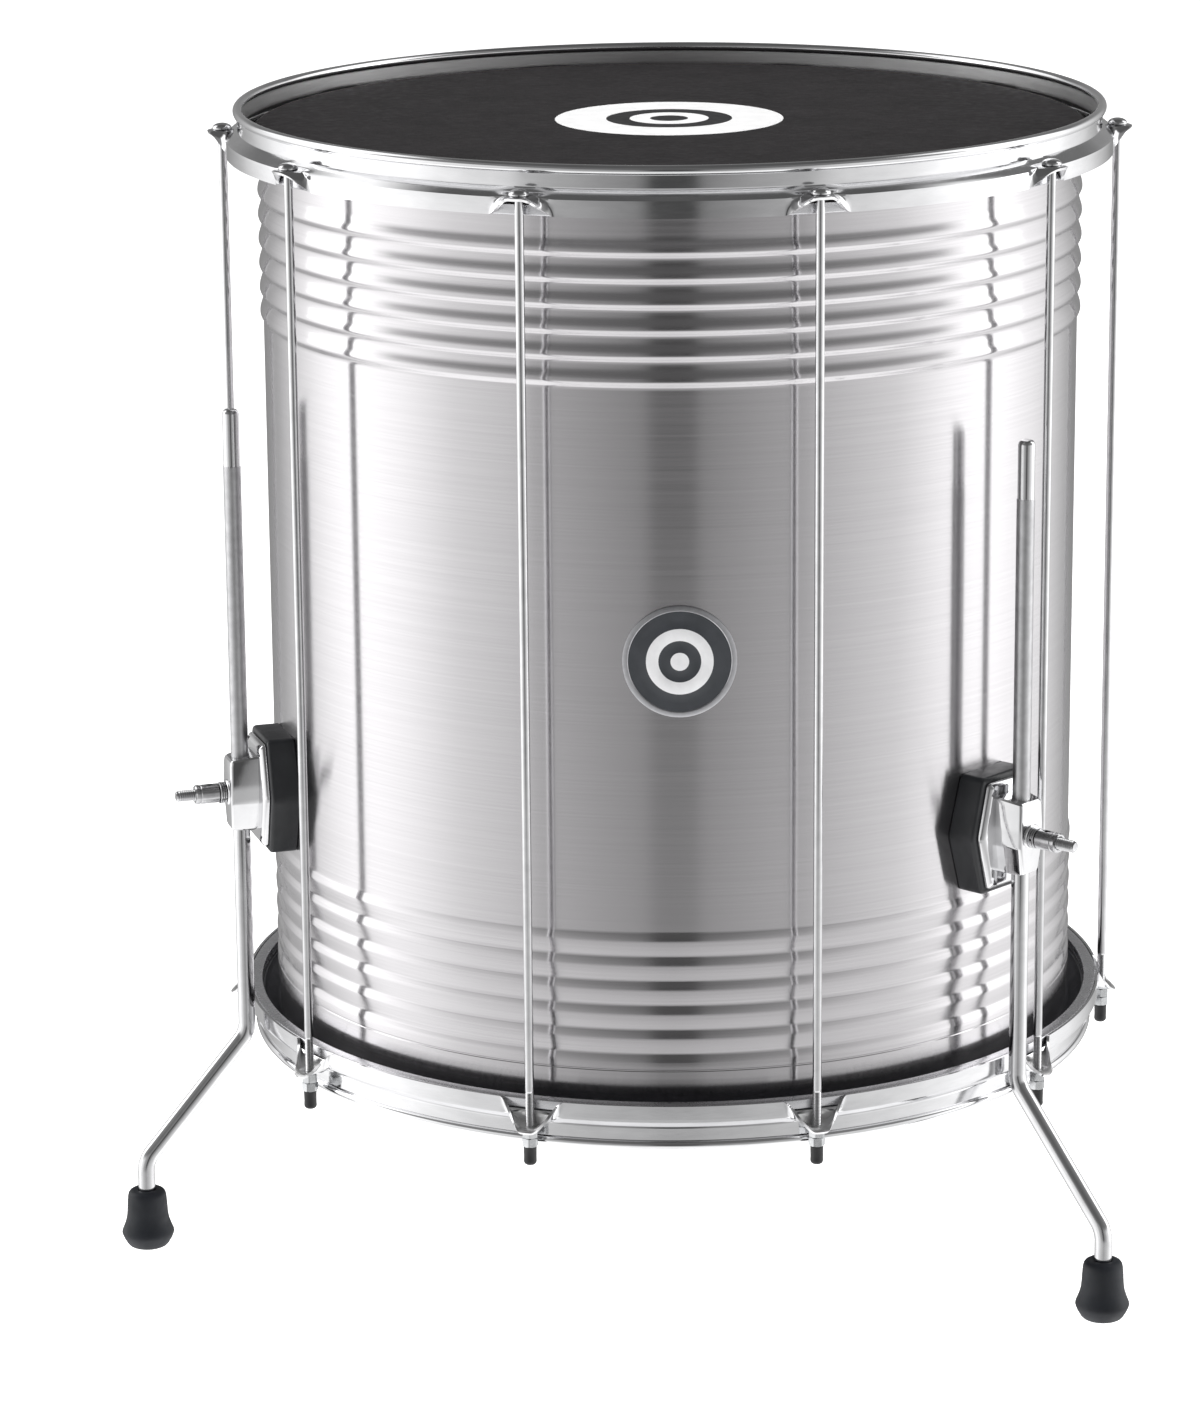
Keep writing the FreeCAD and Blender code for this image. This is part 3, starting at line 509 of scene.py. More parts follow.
def hoop_sheet(ear_depth, droop, folded):
    """The sheet's middle surface as rows of (r, depth) along each column, with the ears in it."""
    share = np.linspace(0, 1, 40)
    step = np.clip((share - STEP_START) / STEP_SHARE, 0.0, 1.0)
    lip_r = WALL + (LIP - WALL) * step
    lip_d = SHEET_START + (SHEET_DEPTH - SHEET_START) * share
    columns, offsets = hoop_columns()
    distance = np.abs(offsets * LIP)
    weight = smooth(1 - (distance - EAR_FLAT) / (EAR_MOUTH - EAR_FLAT))
    front = EAR_REACH - 0.030 * np.minimum(distance, 9.0) ** 2
    shares, knot_r, knot_d = ear_knots(ear_depth, folded)
    rows = []
    for s, r, d in zip(share, lip_r, lip_d):
        if s <= ROOT:
            ear_r = np.full(len(columns), np.interp(s, shares, knot_r))
            ear_d = np.interp(s, shares, knot_d)
        else:
            along = (s - ROOT) / TONGUE
            ear_r = knot_r[-1] + (front - knot_r[-1]) * along
            ear_d = ear_depth + droop * max(0.0, (along - 0.7) / 0.3) ** 2
        rows.append((r + (ear_r - r) * weight, d + (ear_d - d) * weight))
    return columns, rows


def thick(points):
    """A closed skin as thick as the sheet, over a grid that runs right round; its inside is mark 1."""
    along = np.gradient(points, axis=0)
    across = np.roll(points, -1, axis=1) - np.roll(points, 1, axis=1)
    normal = np.cross(along, across)
    normal /= np.linalg.norm(normal, axis=2, keepdims=True)
    outer, inner = points + normal * SHEET / 2, points - normal * SHEET / 2
    if np.hypot(*outer[2, 0, :2]) < np.hypot(*inner[2, 0, :2]):
        outer, inner = inner, outer
    marks = np.zeros(2 * len(points), int)
    marks[len(points):-1] = 1
    return grid(np.concatenate([outer, inner[::-1]]), wrap_rows=True, wrap_cols=True, marks=marks)


def hoop(rim, inward, ear_depth, droop, folded):
    columns, rows = hoop_sheet(ear_depth, droop, folded)
    points = np.stack([np.stack([r * np.sin(columns), -r * np.cos(columns), rim + inward * d], -1)
                       for r, d in rows])
    bead = lathe(arc(WALL + 0.2, rim + inward * BEAD, BEAD, 0, 345, 23), ROUND, closed=True)
    return merge(thick(points), bead)


piece("top_counter_hoop", hoop(TOP_RIM, -1, TOP_RIM - TOP_EAR_LEVEL, 0.8, folded=False),
      [HOOP_CHROME, HOOP_INSIDE_PAINTED_LIGHTER], "drum", ["top_hoop"], angle=40)
piece("bottom_counter_hoop", hoop(BOTTOM_RIM, 1, BOTTOM_EAR_LEVEL - BOTTOM_RIM, -1.8, folded=True),
      [HOOP_CHROME, HOOP_INSIDE_PAINTED_LIGHTER], "drum", ["bottom_hoop"], angle=40)


# ---------------------------------------------------------------- heads and flesh hoops

SKIN = 0.9
FLESH_INNER, FLESH_OUTER = 292.0, 300.3


def head(rim, inward):
    """A skin stretched over the bearing edge, with its collar tucked into the hoop's channel."""
    face = TOP_RIM - SHELL_TOP - SKIN
    outer = [(0.0, face), (140.0, face), (262.0, face), (276.0, face + 0.02), (279.4, face + 0.15),
             (281.6, face + 0.8), (283.2, face + 2.0), (288.4, face + 7.0), (290.2, face + 9.2),
             (291.2, 24.6), (299.8, 24.6)]
    inner = [(FLESH_OUTER, 25.0), (FLESH_OUTER, 25.4), (290.4, 25.4), (289.2, face + 9.6),
             (287.4, face + 7.4), (282.4, face + 2.6), (281.0, face + 1.6), (279.2, face + 0.95),
             (276.0, face + 0.85), (262.0, face + SKIN), (140.0, face + SKIN), (0.0, face + SKIN)]
    return lathe([(r, rim + inward * d) for r, d in outer + inner], 192)


batter = piece("batter_skin", head(TOP_RIM, -1), [NAPA], "drum", ["batter_head"])
resonant = piece("resonant_skin", head(BOTTOM_RIM, 1), [LOWER_SKIN], "drum",
                 ["resonant_head"])


def head_disc():
    """A printed disc in the head's middle, with a plain ring and dot in it."""
    base = high("batter_head") - 0.05
    face = base + 0.2
    bands = [(0.0, face, 1), (13.0, face, 1), (13.0, face - 0.02, 0), (27.0, face, 0), (27.0, face, 1),
             (43.0, face, 1), (43.0, face - 0.02, 0), (77.6, face, 0), (78.0, base, 0), (0.0, base, 0)]
    return lathe([(r, z) for r, z, _ in bands], 160, marks=[mark for _, _, mark in bands[1:]])


piece("head_disc", head_disc(), [DISC_WHITE, DISC_BLACK], "drum", [])


def flesh_hoop(node):
    """A flat rolled ring with soft edges."""
    bottom, top, soft = low(node) + 0.02, high(node) - 0.02, 0.9
    outline = []
    inner, outer = FLESH_INNER + soft, FLESH_OUTER - soft
    for r, z, start in ((outer, top - soft, 0), (inner, top - soft, 90), (inner, bottom + soft, 180),
                        (outer, bottom + soft, 270)):
        outline += arc(r, z, soft, start, start + 90, 4)
    return lathe(outline, 240, closed=True)


for side in ("batter", "resonant"):
    node = f"{side}_flesh_hoop"
    piece(f"{side}_flesh_ring", flesh_hoop(node), [FLESH_METAL], "drum", [node])


# ---------------------------------------------------------------- rods, nuts, caps

ROD_SEAT, ROD_TOP, ROD_END = 766.0, high("tension_rod_01"), low("tension_rod_01")
ROD_THREAD_TOP = 172.0
DOME_RADIUS, DOME_FLANGE = 6.6, 0.8
NUT_CORNER = 5.6
NUT_FLAT = NUT_CORNER * math.cos(math.pi / 6)
NUT_FACE, NUT_ROUND = 0.96, 0.985           # shares of flat and corner that the chamfer leaves
TUNING_BORE, LOCK_BORE = 3.3, 3.06


def rod():
    """A long rod: domed head, plain shank, and a thread on its last 47 mm."""
    segments, shank = 28, 2.98
    levels, radii = threaded(3.0, 2.52, ROD_END + 0.9, ROD_THREAD_TOP, 1.0, segments)
    levels = [ROD_END, ROD_END, *levels, ROD_THREAD_TOP + 0.6, ROD_THREAD_TOP + 1.4, 400.0, 600.0,
              ROD_SEAT]
    radii = [0.0, 2.3, *radii, 2.8, shank, shank, shank, shank]
    shaft = field(levels, radii, segments)
    seam = ROD_SEAT + DOME_FLANGE
    dome = [(DOME_RADIUS * math.sin(a), seam + (ROD_TOP - seam) * math.cos(a))
            for a in np.linspace(math.pi / 2, 0, 10)]
    underside = [(0.0, ROD_SEAT), (6.2, ROD_SEAT), (DOME_RADIUS, ROD_SEAT + 0.3)]
    return merge(shaft, lathe(underside + dome, 36))


def hex_nut(bottom, top, bore, turned_by):
    """A hexagon nut, its corners chamfered to a circle on both faces."""
    segments = 72
    turn = np.arange(segments) * 2 * math.pi / segments
    side = NUT_FLAT / np.cos(((turn + turned_by) % (math.pi / 3)) - math.pi / 6)
    side = np.minimum(side, NUT_CORNER * NUT_ROUND)
    drop = (side - NUT_FLAT * NUT_FACE) * math.tan(math.radians(32))
    inner, lip, face = bore, bore + 0.5, NUT_FLAT * NUT_FACE
    rows = [(bottom + 0.5, inner, 0), (bottom, lip, 0), (bottom, face, 0), (bottom, side, drop),
            (top, side, -drop), (top, face, 0), (top, lip, 0), (top - 0.5, inner, 0)]
    points = [np.stack([r * np.cos(turn), r * np.sin(turn), np.full(segments, z) + shift], -1)
              for z, r, shift in rows]
    return grid(points, wrap_rows=True, wrap_cols=True)


def cap():
    """A soft cap: round end, plain side, a small rolled lip at its mouth."""
    top, bottom, radius = high("rod_caps"), low("rod_caps"), 4.35
    points = [(0.0, bottom)] + arc(radius - 2.6, bottom + 2.6, 2.6, -84, 0, 8)
    points += [(radius - 0.12, bottom + 5.5), (radius, top - 1.4), (radius + 0.12, top - 0.9),
               (radius + 0.1, top - 0.3), (radius - 0.2, top), (3.05, top), (3.05, ROD_END - 0.2),
               (0.0, ROD_END - 0.2)]
    return lathe(points, 36)


rod_part = rod()
lock_parts, cap_parts = [], []
for number, azimuth in zip(RODS, ROD_AZIMUTHS):
    rod_node, nut_node = f"tension_rod_{number:02d}", f"tuning_nut_{number:02d}"
    centre = middle(rod_node)
    offset = (centre.x - AXIS.x, centre.y - AXIS.y, 0)
    piece(f"rod_{number:02d}", moved(rod_part, offset), [ROD_STEEL], "drum", [rod_node],
          angle=50)
    # every nut was left at another turn when it was tightened
    nut_part = hex_nut(low(nut_node), high(nut_node), TUNING_BORE, azimuth + 0.4 * number)
    piece(f"tuning_nut_hex_{number:02d}", moved(nut_part, offset), [NUT_STEEL],
          f"tuning_nut_body_{number:02d}", [nut_node])
    lock_part = hex_nut(low("lock_nuts"), high("lock_nuts"), LOCK_BORE, azimuth * 3.1 + number)
    lock_parts.append(moved(lock_part, offset))
    cap_parts.append(moved(cap(), offset))
piece("lock_nuts_hex", merge(*lock_parts), [NUT_STEEL], "drum", ["lock_nuts"])
piece("rod_end_caps", merge(*cap_parts), [VINYL], "drum", ["rod_caps"])


# ---------------------------------------------------------------- leg brackets

PAD_FACE, COLUMN_FACE = 297.5, 322.4
COLUMN_SLOPE_START = 15.0                   # the column's sloping top, above the bracket's middle
LEG_HOLE, CROSS_HOLE = 6.35, 2.2
CROSS_HOLE_PLACE = 334.2
CASTING_EDGE = 0.45
WASHER_START, WASHER_PITCH = 322.5, 1.6


def stack(rings):
    """Joins rings of r, t, z points into a closed solid, one ring after the other."""
    part = grid(np.array(rings, float), wrap_cols=True)
    count, last = len(rings[0]), (len(rings) - 1) * len(rings[0])
    ring_cap(part, range(count), flip=True)
    return ring_cap(part, range(last, last + count))


def six_sided(half_width, end_half, half_height):
    return [(-end_half, -half_height), (end_half, -half_height), (half_width, 0.0),
            (end_half, half_height), (-end_half, half_height), (-half_width, 0.0)]


def plate_rings(outline, steps):
    """Rings of an outline in t, z at each (r or a function of t, inset)."""
    rings = []
    for r, inset in steps:
        ring = []
        for p in outline:
            scale = 1 - inset / max(p.length, 1e-6)
            t, z = p.x * scale, p.y * scale
            ring.append((r(t) if callable(r) else r, t, BRACKET_LEVEL + z))
        rings.append(ring)
    return rings


def pad_part():
    """The black pad, curved to the shell at its back and rounded at its face."""
    outline = rounded(six_sided(34.0, 23.0, 40.2), 3.5)

    def on_shell(t):
        return math.sqrt((SHELL_RADIUS + 0.15) ** 2 - t * t)

    return stack(plate_rings(outline, [(on_shell, 0.6), (lambda t: on_shell(t) + 0.6, 0.0),
                                       (PAD_FACE - 2.4, 0.0), (PAD_FACE - 1.1, 0.45),
                                       (PAD_FACE - 0.3, 1.4), (PAD_FACE, 2.6)]))


def flange_part():
    """The casting's flat flange on the pad, its face bevelled."""
    outline = rounded(six_sided(29.0, 19.5, 36.4), 2.5)
    start = PAD_FACE + 0.1
    return stack(plate_rings(outline, [(start, 0.6), (start + 0.6, 0.0), (start + 2.0, 0.1),
                                       (start + 2.9, 0.7), (start + 4.4, 3.0), (start + 4.8, 4.2)]))


def column_part():
    """The casting's column: tapered sides, a sloping top, and a lower end drawn in to the leg."""
    # level, half width at the back and the front, r of the back and the front
    levels = [(-25.8, 9.6, 7.4, 304.0, 318.4), (-24.9, 10.8, 8.3, 301.4, 319.9),
              (-23.0, 11.4, 8.9, 300.6, 320.5), (-7.2, 14.5, 11.5, 299.6, 321.1),
              (-5.6, 15.2, 12.0, 299.6, 321.2), (8.0, 15.5, 11.8, 299.6, 321.2),
              (21.0, 15.3, 11.1, 299.6, 321.0), (24.4, 15.0, 10.7, 299.6, 320.5),
              (25.6, 14.1, 9.9, 299.8, 319.3)]
    top = levels[-1][0] - COLUMN_SLOPE_START
    rings = []
    for z, wide, narrow, back, front in levels:
        corners = [(back, -wide), (front, -narrow), (front, narrow), (back, wide)]
        rise = max(0.0, z - COLUMN_SLOPE_START)
        rings.append([(p.x, p.y, BRACKET_LEVEL + z + 0.17 * (311.0 - p.x) * rise / top)
                      for p in rounded(corners, 2.3, 6)])
    boss = moved(lathe([(0, 318.0), (8.9, 318.0), (8.9, 321.4), (8.5, 322.0), (7.8, COLUMN_FACE),
                        (0, COLUMN_FACE)], 48), (0, 0, BRACKET_LEVEL), (2, 0, 1))
    return stack(rings), boss


def drill(azimuth, r, radius, reach, segments):
    """An upright bar across the bracket's level, to be cut out of something."""
    bar = moved(lathe([(0, -reach), (radius, -reach), (radius, reach), (0, reach)], segments),
                (r, 0, BRACKET_LEVEL))
    return mesh_object("drill", at_azimuth(bar[0], azimuth), bar[1])


def pocket_cutters(azimuth):
    """Four narrow hollows near the flange's ends."""
    made = []
    for side in (-1, 1):
        for end in (-1, 1):
            corners = [Vector((side * 11.5, end * 34.6)), Vector((side * 16.0, end * 34.2)),
                       Vector((side * 19.6, end * 28.4)), Vector((side * 17.4, end * 27.6))]
            outline = rounded(corners, 1.0, 4)
            part = stack([[(r, p.x, BRACKET_LEVEL + p.y) for p in outline]
                          for r in (PAD_FACE + 2.4, 306.0)])
            made.append(mesh_object("pocket", at_azimuth(part[0], azimuth), part[1]))
    return made


def bracket(k, azimuth):
    """The polished casting: a flange with pockets and a column with the leg's hole, as one mesh."""
    flange = flange_part()
    plate = drilled(mesh_object(f"flange_{k}", at_azimuth(flange[0], azimuth), flange[1]),
                    pocket_cutters(azimuth))
    column, boss = column_part()
    tower = drilled(mesh_object(f"column_{k}", at_azimuth(column[0], azimuth), column[1]),
                    [drill(azimuth, LEG_CIRCLE, LEG_HOLE, 40, 48)])
    parts = []
    for thing in (plate, tower):
        faces = [list(face.vertices) for face in thing.data.polygons]
        parts.append((np.array([v.co for v in thing.data.vertices]), faces, [0] * len(faces)))
        bpy.data.objects.remove(thing)
    parts.append((at_azimuth(boss[0], azimuth), boss[1], boss[2]))
    verts, faces, _ = merge(*parts)
    thing = mesh_object(f"bracket_casting_{k}", verts, faces)
    soften = thing.modifiers.new("soft_edges", "BEVEL")
    soften.width, soften.segments, soften.limit_method = CASTING_EDGE * MM, 2, "ANGLE"
    soften.angle_limit = math.radians(28)
    return finished(thing, [BRACKET_CHROME], "drum", [f"leg_bracket_{k}"], 30)


def eye_bolt():
    """The stem's thread and worn end, and the eye round the leg."""
    segments, tip = 32, 357.4
    levels, radii = threaded(4.2, 3.35, 320.0, tip - 1.4, 1.5, segments)
    levels = [319.0, 319.0, *levels, tip - 0.7, tip, tip - 0.25]
    radii = [0.0, 3.5, *radii, 3.5, 2.9, 0.0]
    stem = moved(field(levels, radii, segments), (0, 0, BRACKET_LEVEL), (2, 0, 1))
    eye = lathe([(6.4, -4.4), (8.2, -4.4), (8.4, -4.0), (8.4, 4.0), (8.2, 4.4), (6.4, 4.4)], 40,
                closed=True)
    return merge(stem, moved(eye, (LEG_CIRCLE, 0, BRACKET_LEVEL)))


def spring_washer(start, slit):
    """A split ring of square wire, its ends sprung a little apart."""
    section = [(4.5, -0.45), (4.7, -0.62), (7.0, -0.62), (7.3, -0.4), (7.3, 0.4), (7.0, 0.62),
               (4.7, 0.62), (4.5, 0.45)]
    turns = np.radians(np.linspace(5, 355, 60))
    rows = []
    for share, turn in zip(np.linspace(-1, 1, len(turns)), turns):
        lift = start + 0.75 + 0.16 * share
        rows.append([(lift + a, r * math.cos(turn + slit), BRACKET_LEVEL + r * math.sin(turn + slit))
                     for r, a in section])
    part = grid(rows, wrap_cols=True)
    count, end = len(section), len(part[0])
    ring_cap(part, range(count))
    return ring_cap(part, range(end - count, end), flip=True)


def clamp_nut(k, azimuth):
    """The round nut: chamfered ends, a turned groove, and a hole across it."""
    start, end, radius = 327.4, 344.2, 6.7
    outline = [(4.35, start + 0.5), (4.9, start), (6.1, start), (radius, start + 0.6),
               (radius, end - 4.4), (6.35, end - 4.0), (6.35, end - 3.3), (radius, end - 2.9),
               (radius, end - 0.9), (6.0, end), (4.9, end), (4.35, end - 0.5)]
    body = moved(lathe(outline, 56, closed=True), (0, 0, BRACKET_LEVEL), (2, 0, 1))
    nut = mesh_object(f"clamp_nut_turned_{k}", at_azimuth(body[0], azimuth), body[1])
    return drilled(nut, [drill(azimuth, CROSS_HOLE_PLACE, CROSS_HOLE, 12, 28)])


# ---------------------------------------------------------------- legs and feet

LEG_TOP, LEG_END = high("leg_1"), low("leg_1")
LEG_RADIUS, LEG_TIP_RADIUS = 5.95, 5.65
KNURL_TOP, KNURL_END = 551.0, 345.0
KNURL_BARS, KNURL_PITCH, KNURL_DEPTH, KNURL_ROW = 22, 2.3, 0.36, 0.55
BEND_RADIUS, BEND_STEPS = 20.0, 10
UPPER_BEND, LOWER_BEND = 148.6, 61.6


def leg_line():
    """The rod's centre line below its straight part, as r, z points with their directions."""
    slope = math.atan2(FOOT_CIRCLE - LEG_CIRCLE, UPPER_BEND - LOWER_BEND)
    setback = BEND_RADIUS * math.tan(slope / 2)
    points = []
    for angle in np.linspace(0, slope, BEND_STEPS):
        points.append((LEG_CIRCLE + BEND_RADIUS * (1 - math.cos(angle)),
                       UPPER_BEND + setback - BEND_RADIUS * math.sin(angle), angle))
    for angle in np.linspace(slope, 0, BEND_STEPS):
        points.append((FOOT_CIRCLE - BEND_RADIUS * (1 - math.cos(angle)),
                       LOWER_BEND - setback + BEND_RADIUS * math.sin(angle), angle))
    return points + [(FOOT_CIRCLE, LEG_END, 0.0)]


def leg_part():
    """A bent rod with a plain rounded tip, a knurled length and two bends."""
    segments = 88
    turn = np.arange(segments) * 2 * math.pi / segments
    ring = np.stack([np.cos(turn), np.sin(turn)], -1)
    # level, radius, material
    straight = [(LEG_TOP, 0.0, 0), (LEG_TOP, 2.8, 0), (LEG_TOP - 0.5, 4.2, 0), (LEG_TOP - 1.6, 5.2, 0),
                (LEG_TOP - 3.2, LEG_TIP_RADIUS, 0), (KNURL_TOP + 1.5, LEG_TIP_RADIUS, 0),
                (KNURL_TOP + 0.6, 5.75, 0)]
    bar = KNURL_BARS * turn / (2 * math.pi)
    for z in np.arange(KNURL_TOP, KNURL_END, -KNURL_ROW):
        groove = np.minimum(np.abs(np.sin(math.pi * (bar + z / KNURL_PITCH))),
                            np.abs(np.sin(math.pi * (bar - z / KNURL_PITCH))))
        straight.append((z, 5.68 + KNURL_DEPTH * groove, 1))
    straight += [(KNURL_END - 0.6, 5.8, 0), (KNURL_END - 1.6, LEG_RADIUS, 0), (250.0, LEG_RADIUS, 0)]
    rows, marks = [], []
    for z, radius, mark in straight:
        radius = np.broadcast_to(np.asarray(radius, float), (segments,))
        rows.append(np.stack([LEG_CIRCLE + radius * ring[:, 0], radius * ring[:, 1],
                              np.full(segments, z)], -1))
        marks.append(mark)
    for r, z, angle in leg_line():
        rows.append(np.stack([r + LEG_RADIUS * ring[:, 0] * math.cos(angle), LEG_RADIUS * ring[:, 1],
                              z + LEG_RADIUS * ring[:, 0] * math.sin(angle)], -1))
        marks.append(0)
    rows.append(np.broadcast_to([FOOT_CIRCLE, 0.0, LEG_END], (segments, 3)))
    marks.append(0)
    return grid(rows, wrap_cols=True, marks=marks[1:])


def foot_part():
    """The rubber foot: small sole, wide flare, waist, and a sleeve with a rounded mouth."""
    top = high("foot_1")
    points = [(0.0, 0.0), (12.4, 0.0), (13.3, 0.5), (14.6, 2.0), (16.6, 5.4), (17.7, 8.0), (18.15, 9.6),
              (18.0, 10.8), (17.3, 12.6), (16.2, 15.4), (15.2, 18.4), (14.5, 21.6), (14.15, 25.0),
              (13.95, 29.0), (13.7, 33.0), (13.4, 36.2), (12.9, 38.4), (11.9, top - 1.2),
              (10.4, top - 0.3), (8.6, top), (6.9, top - 0.1), (6.15, top - 0.8), (6.1, LEG_END - 0.1),
              (0.0, LEG_END - 0.1)]
    return moved(lathe(points, 72), (FOOT_CIRCLE, 0, 0))


pad_shape, bolt_shape = pad_part(), eye_bolt()
washer_shape = merge(*[spring_washer(WASHER_START + WASHER_PITCH * index, 0.9 + 2.2 * index)
                       for index in range(3)])
leg_shape, foot_shape = leg_part(), foot_part()
for k, azimuth in zip(LEGS, LEG_AZIMUTHS):
    def here(verts, azimuth=azimuth):
        return at_azimuth(verts, azimuth)

    leg_body = f"leg_{k}_with_foot"
    piece(f"bracket_pad_{k}", pad_shape, [PAD_BLACK], "drum",
          [f"leg_bracket_base_{k}"], here)
    bracket(k, azimuth)
    piece(f"eye_bolt_stem_{k}", bolt_shape, [CLAMP_STEEL], "drum",
          [f"eye_bolt_{k}"], here, 50)
    piece(f"split_washers_{k}", washer_shape, [CLAMP_STEEL], "drum",
          [f"spring_washers_{k}"], here)
    finished(clamp_nut(k, azimuth), [CLAMP_STEEL], f"clamp_nut_body_{k}",
             [f"clamp_nut_{k}"])
    piece(f"leg_rod_{k}", leg_shape, [LEG_CHROME, KNURL_CHROME], leg_body,
          [f"leg_{k}"], here, 60)
    piece(f"rubber_foot_{k}", foot_shape, [RUBBER], leg_body, [f"foot_{k}"], here)

# The screws and washers inside the shell keep their CAD shape.
for node in ("bracket_screws", "bracket_washers"):
    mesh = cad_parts[node].data
    mesh.materials.clear()
    mesh.materials.append(SCREW_STEEL)


# ---------------------------------------------------------------- floor, light, camera

# The floor lies just below the feet's lowest reach, so that no pose of the legs sinks into it.
FLOOR_LEVEL, FLOOR_HALF = -0.185, 60
BACKDROP_RADIUS, BACKDROP_TOP, BACKDROP_SIDES = 50, 60, 48

floor_look = Nodes("studio_floor")
floor_look.two_tone(floor_look.noise(1.5, 3.0), (0.88, 0.88, 0.88), (0.90, 0.90, 0.90))
floor_look.shader.inputs["Roughness"].default_value = 0.9
floor_look.shader.inputs["Specular IOR Level"].default_value = 0.1
floor_look.shader.inputs["Emission Color"].default_value = (1.0, 1.0, 1.0, 1.0)
floor_look.shader.inputs["Emission Strength"].default_value = 0.9

corners = ((-1, -1), (1, -1), (1, 1), (-1, 1))
floor = mesh_object("studio_floor", np.array([(x * FLOOR_HALF, y * FLOOR_HALF, FLOOR_LEVEL)
                                              for x, y in corners], float), [[0, 1, 2, 3]])
floor.data.materials.append(floor_look.material)
floor.visible_glossy = False

# A pale wall far off all round, which only the camera sees, so that low views end in white too.
rim = [(BACKDROP_RADIUS * math.sin(turn), BACKDROP_RADIUS * math.cos(turn))
       for turn in np.linspace(0, 2 * math.pi, BACKDROP_SIDES + 1)[:-1]]
rings = np.array([(x, y, level) for level in (FLOOR_LEVEL, BACKDROP_TOP) for x, y in rim], float)
walls = [[i, (i + 1) % BACKDROP_SIDES, BACKDROP_SIDES + (i + 1) % BACKDROP_SIDES, BACKDROP_SIDES + i]
         for i in range(BACKDROP_SIDES)]
backdrop = mesh_object("studio_backdrop", rings, walls)
backdrop.data.materials.append(floor_look.material)
backdrop.visible_glossy = backdrop.visible_diffuse = backdrop.visible_shadow = False

CENTRE = Vector((AXIS.x * MM, AXIS.y * MM, 0.45))
SOFTBOX_DISTANCE, SOFTBOX_HEIGHT, SOFTBOX_TALL, SOFTBOX_RADIANCE = 3.4, 1.7, 2.4, 0.9
OVERHEAD_HEIGHT, OVERHEAD_SIDE, OVERHEAD_WATTS = 3.6, 3.0, 94.0


def area_light(name, shape, energy, location):
    """An area light that the camera doesn't see, facing down until it's turned."""
    data = bpy.data.lights.new(name, "AREA")
    data.shape, data.energy = shape, energy
    lamp = bpy.data.objects.new(name, data)
    lamp.location = location
    lamp.visible_camera = False
    bpy.context.scene.collection.objects.link(lamp)
    return lamp


def softbox(name, azimuth, width):
    """A soft upright light, facing the drum; azimuth in degrees."""
    turn = math.radians(azimuth)
    place = (CENTRE.x + SOFTBOX_DISTANCE * math.sin(turn), CENTRE.y - SOFTBOX_DISTANCE * math.cos(turn),
             SOFTBOX_HEIGHT)
    lamp = area_light(name, "RECTANGLE", SOFTBOX_RADIANCE * math.pi * width * SOFTBOX_TALL, place)
    lamp.data.size, lamp.data.size_y = width, SOFTBOX_TALL
    lamp.rotation_euler = (CENTRE - lamp.location).to_track_quat("-Z", "Y").to_euler()


softbox("left_softbox", -104, 1.5)
softbox("right_softbox", 100, 1.2)
overhead = area_light("overhead_fill", "SQUARE", OVERHEAD_WATTS, (CENTRE.x, CENTRE.y, OVERHEAD_HEIGHT))
overhead.data.size = OVERHEAD_SIDE
overhead.visible_glossy = False

# How bright the studio is all round, as (azimuth, level) from behind on the left to behind on the
# right: white panels at both sides, and a dark gap in front where the camera stands.
NEAR_FLOOR_ROUND = [(-180, 0.70), (-140, 0.80), (-110, 1.05), (-60, 0.90), (0, 0.72), (60, 0.90),
                    (110, 1.05), (140, 0.80), (180, 0.70)]
FLOOR_ROUND = [(-180, 0.34), (-162, 0.28), (-147, 0.32), (-138, 0.40), (-125, 0.54), (-115, 0.68),
               (-104, 0.80), (-92, 0.90), (-78, 0.80), (-58, 0.58), (-40, 0.46), (-20, 0.38), (0, 0.33),
               (20, 0.38), (44, 0.44), (66, 0.58), (84, 0.74), (100, 0.80), (118, 0.76), (132, 0.68),
               (146, 0.46), (156, 0.32), (180, 0.34)]
WALLS_ROUND = [(-180, 0.16), (-162, 0.20), (-146, 0.34), (-138, 0.50), (-125, 0.76), (-112, 1.00),
               (-98, 1.20), (-80, 1.00), (-62, 0.70), (-42, 0.54), (-38, 0.36), (-24, 0.27),
               (-8, 0.17), (-4, 0.05), (6, 0.05), (9, 0.16), (26, 0.28), (37, 0.34), (42, 0.46),
               (66, 0.68), (84, 1.04), (100, 1.20), (112, 1.00), (122, 0.86), (133, 0.66),
               (146, 0.42), (160, 0.20), (180, 0.16)]
CEILING_ROUND = [(-180, 0.14), (-150, 0.12), (-143, 0.12), (-138, 0.85), (-112, 1.00), (-92, 1.00),
                 (-84, 0.20), (-45, 0.13), (0, 0.08), (45, 0.13), (82, 0.20), (90, 1.00), (110, 1.00),
                 (128, 0.90), (134, 0.12), (150, 0.12), (180, 0.14)]
ZENITH_ROUND = [(-180, 0.07), (180, 0.07)]
# Each zone with the elevations, in degrees, between which it takes over from the one below.
ZONES = ((FLOOR_ROUND, -44, -32), (WALLS_ROUND, -22, -12), (CEILING_ROUND, 6, 22),
         (ZENITH_ROUND, 46, 60))
WORLD_STRENGTH = 1.6


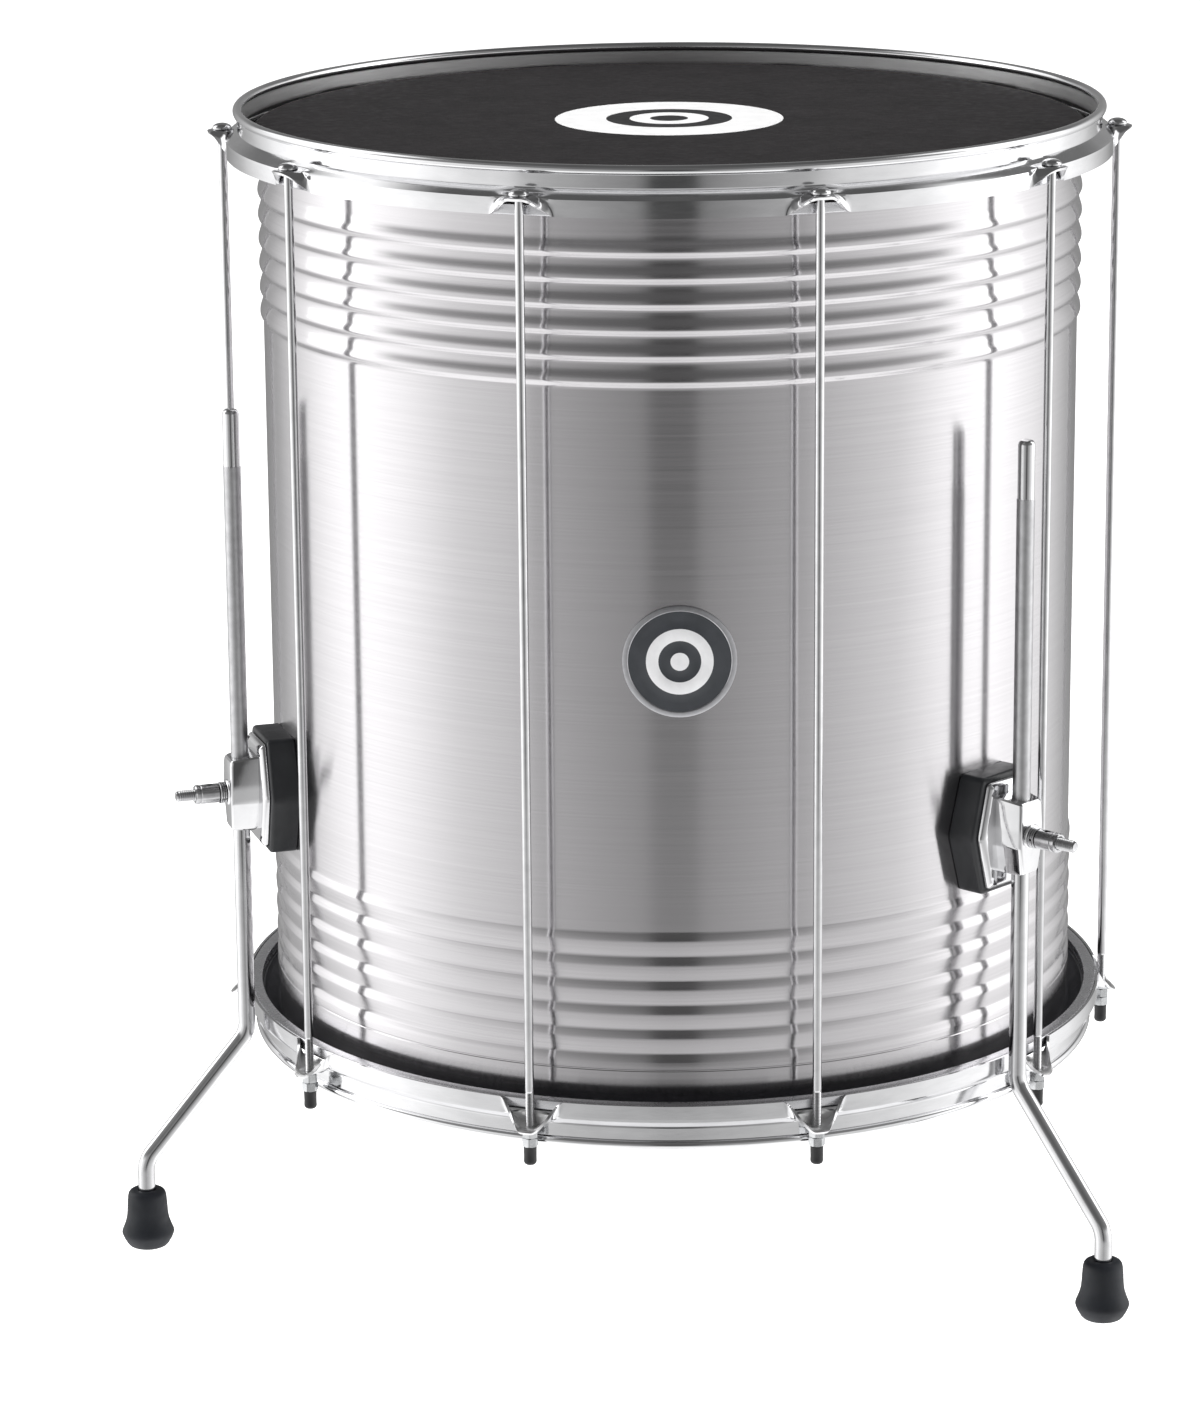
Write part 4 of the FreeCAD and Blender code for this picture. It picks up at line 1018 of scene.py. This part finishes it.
def studio_world():
    """Light by direction: a ramp round each zone, from the near floor up to the zenith."""
    world = bpy.data.worlds.new("studio")
    world.use_nodes = True
    tree = world.node_tree
    coords = tree.nodes.new("ShaderNodeTexCoord").outputs["Generated"]
    turned = tree.nodes.new("ShaderNodeMapping")
    turned.inputs["Rotation"].default_value = (0, 0, math.pi / 2)
    tree.links.new(coords, turned.inputs["Vector"])
    around = tree.nodes.new("ShaderNodeTexGradient")
    around.gradient_type = "RADIAL"
    tree.links.new(turned.outputs["Vector"], around.inputs["Vector"])
    parts = tree.nodes.new("ShaderNodeSeparateXYZ")
    tree.links.new(coords, parts.inputs["Vector"])

    def round_ramp(levels):
        ramp = tree.nodes.new("ShaderNodeValToRGB")
        while len(ramp.color_ramp.elements) < len(levels):
            ramp.color_ramp.elements.new(0.5)
        for element, (azimuth, level) in zip(ramp.color_ramp.elements, levels):
            element.position = azimuth / 360 + 0.5
            element.color = (level, level, level, 1.0)
        tree.links.new(around.outputs["Fac"], ramp.inputs["Fac"])
        return ramp.outputs["Color"]

    def blended(lower, upper, start, end):
        rise = tree.nodes.new("ShaderNodeMapRange")
        rise.interpolation_type = "SMOOTHSTEP"
        rise.inputs["From Min"].default_value = math.sin(math.radians(start))
        rise.inputs["From Max"].default_value = math.sin(math.radians(end))
        tree.links.new(parts.outputs["Z"], rise.inputs["Value"])
        mixed = tree.nodes.new("ShaderNodeMix")
        mixed.data_type = "RGBA"
        tree.links.new(rise.outputs["Result"], mixed.inputs["Factor"])
        tree.links.new(lower, mixed.inputs[6])      # the node's colour inputs A and B
        tree.links.new(upper, mixed.inputs[7])
        return mixed.outputs[2]

    light = round_ramp(NEAR_FLOOR_ROUND)
    for levels, start, end in ZONES:
        light = blended(light, round_ramp(levels), start, end)
    background = tree.nodes["Background"]
    background.inputs["Strength"].default_value = WORLD_STRENGTH
    tree.links.new(light, background.inputs["Color"])
    bpy.context.scene.world = world


studio_world()

# The camera stands where the drum's proportions put it: 3.4 m off, 1.26 m up, looking down.
CAMERA_DISTANCE, CAMERA_HEIGHT, CAMERA_LENS = 3.3774, 1.265, 127.37
CAMERA_SIDE, CAMERA_TURN, CAMERA_PITCH, CAMERA_ROLL = -0.0503, -0.01453, 0.26201, -0.0079
camera_data = bpy.data.cameras.new("camera")
camera_data.sensor_width = 36.0
camera_data.lens = CAMERA_LENS
camera_data.clip_end = 100.0
camera = bpy.data.objects.new("camera", camera_data)
camera.location = (CENTRE.x + CAMERA_SIDE - CAMERA_DISTANCE * math.sin(CAMERA_TURN),
                   CENTRE.y - CAMERA_DISTANCE * math.cos(CAMERA_TURN), CAMERA_HEIGHT)
heading = Matrix.Rotation(-CAMERA_TURN, 3, "Z")
pitched = Matrix.Rotation(math.pi / 2 - CAMERA_PITCH, 3, "X")
rolled = Matrix.Rotation(CAMERA_ROLL, 3, "Z")
camera.rotation_euler = (heading @ pitched @ rolled).to_euler()
bpy.context.scene.collection.objects.link(camera)
bpy.context.scene.camera = camera
bpy.context.scene.view_settings.view_transform = "Standard"
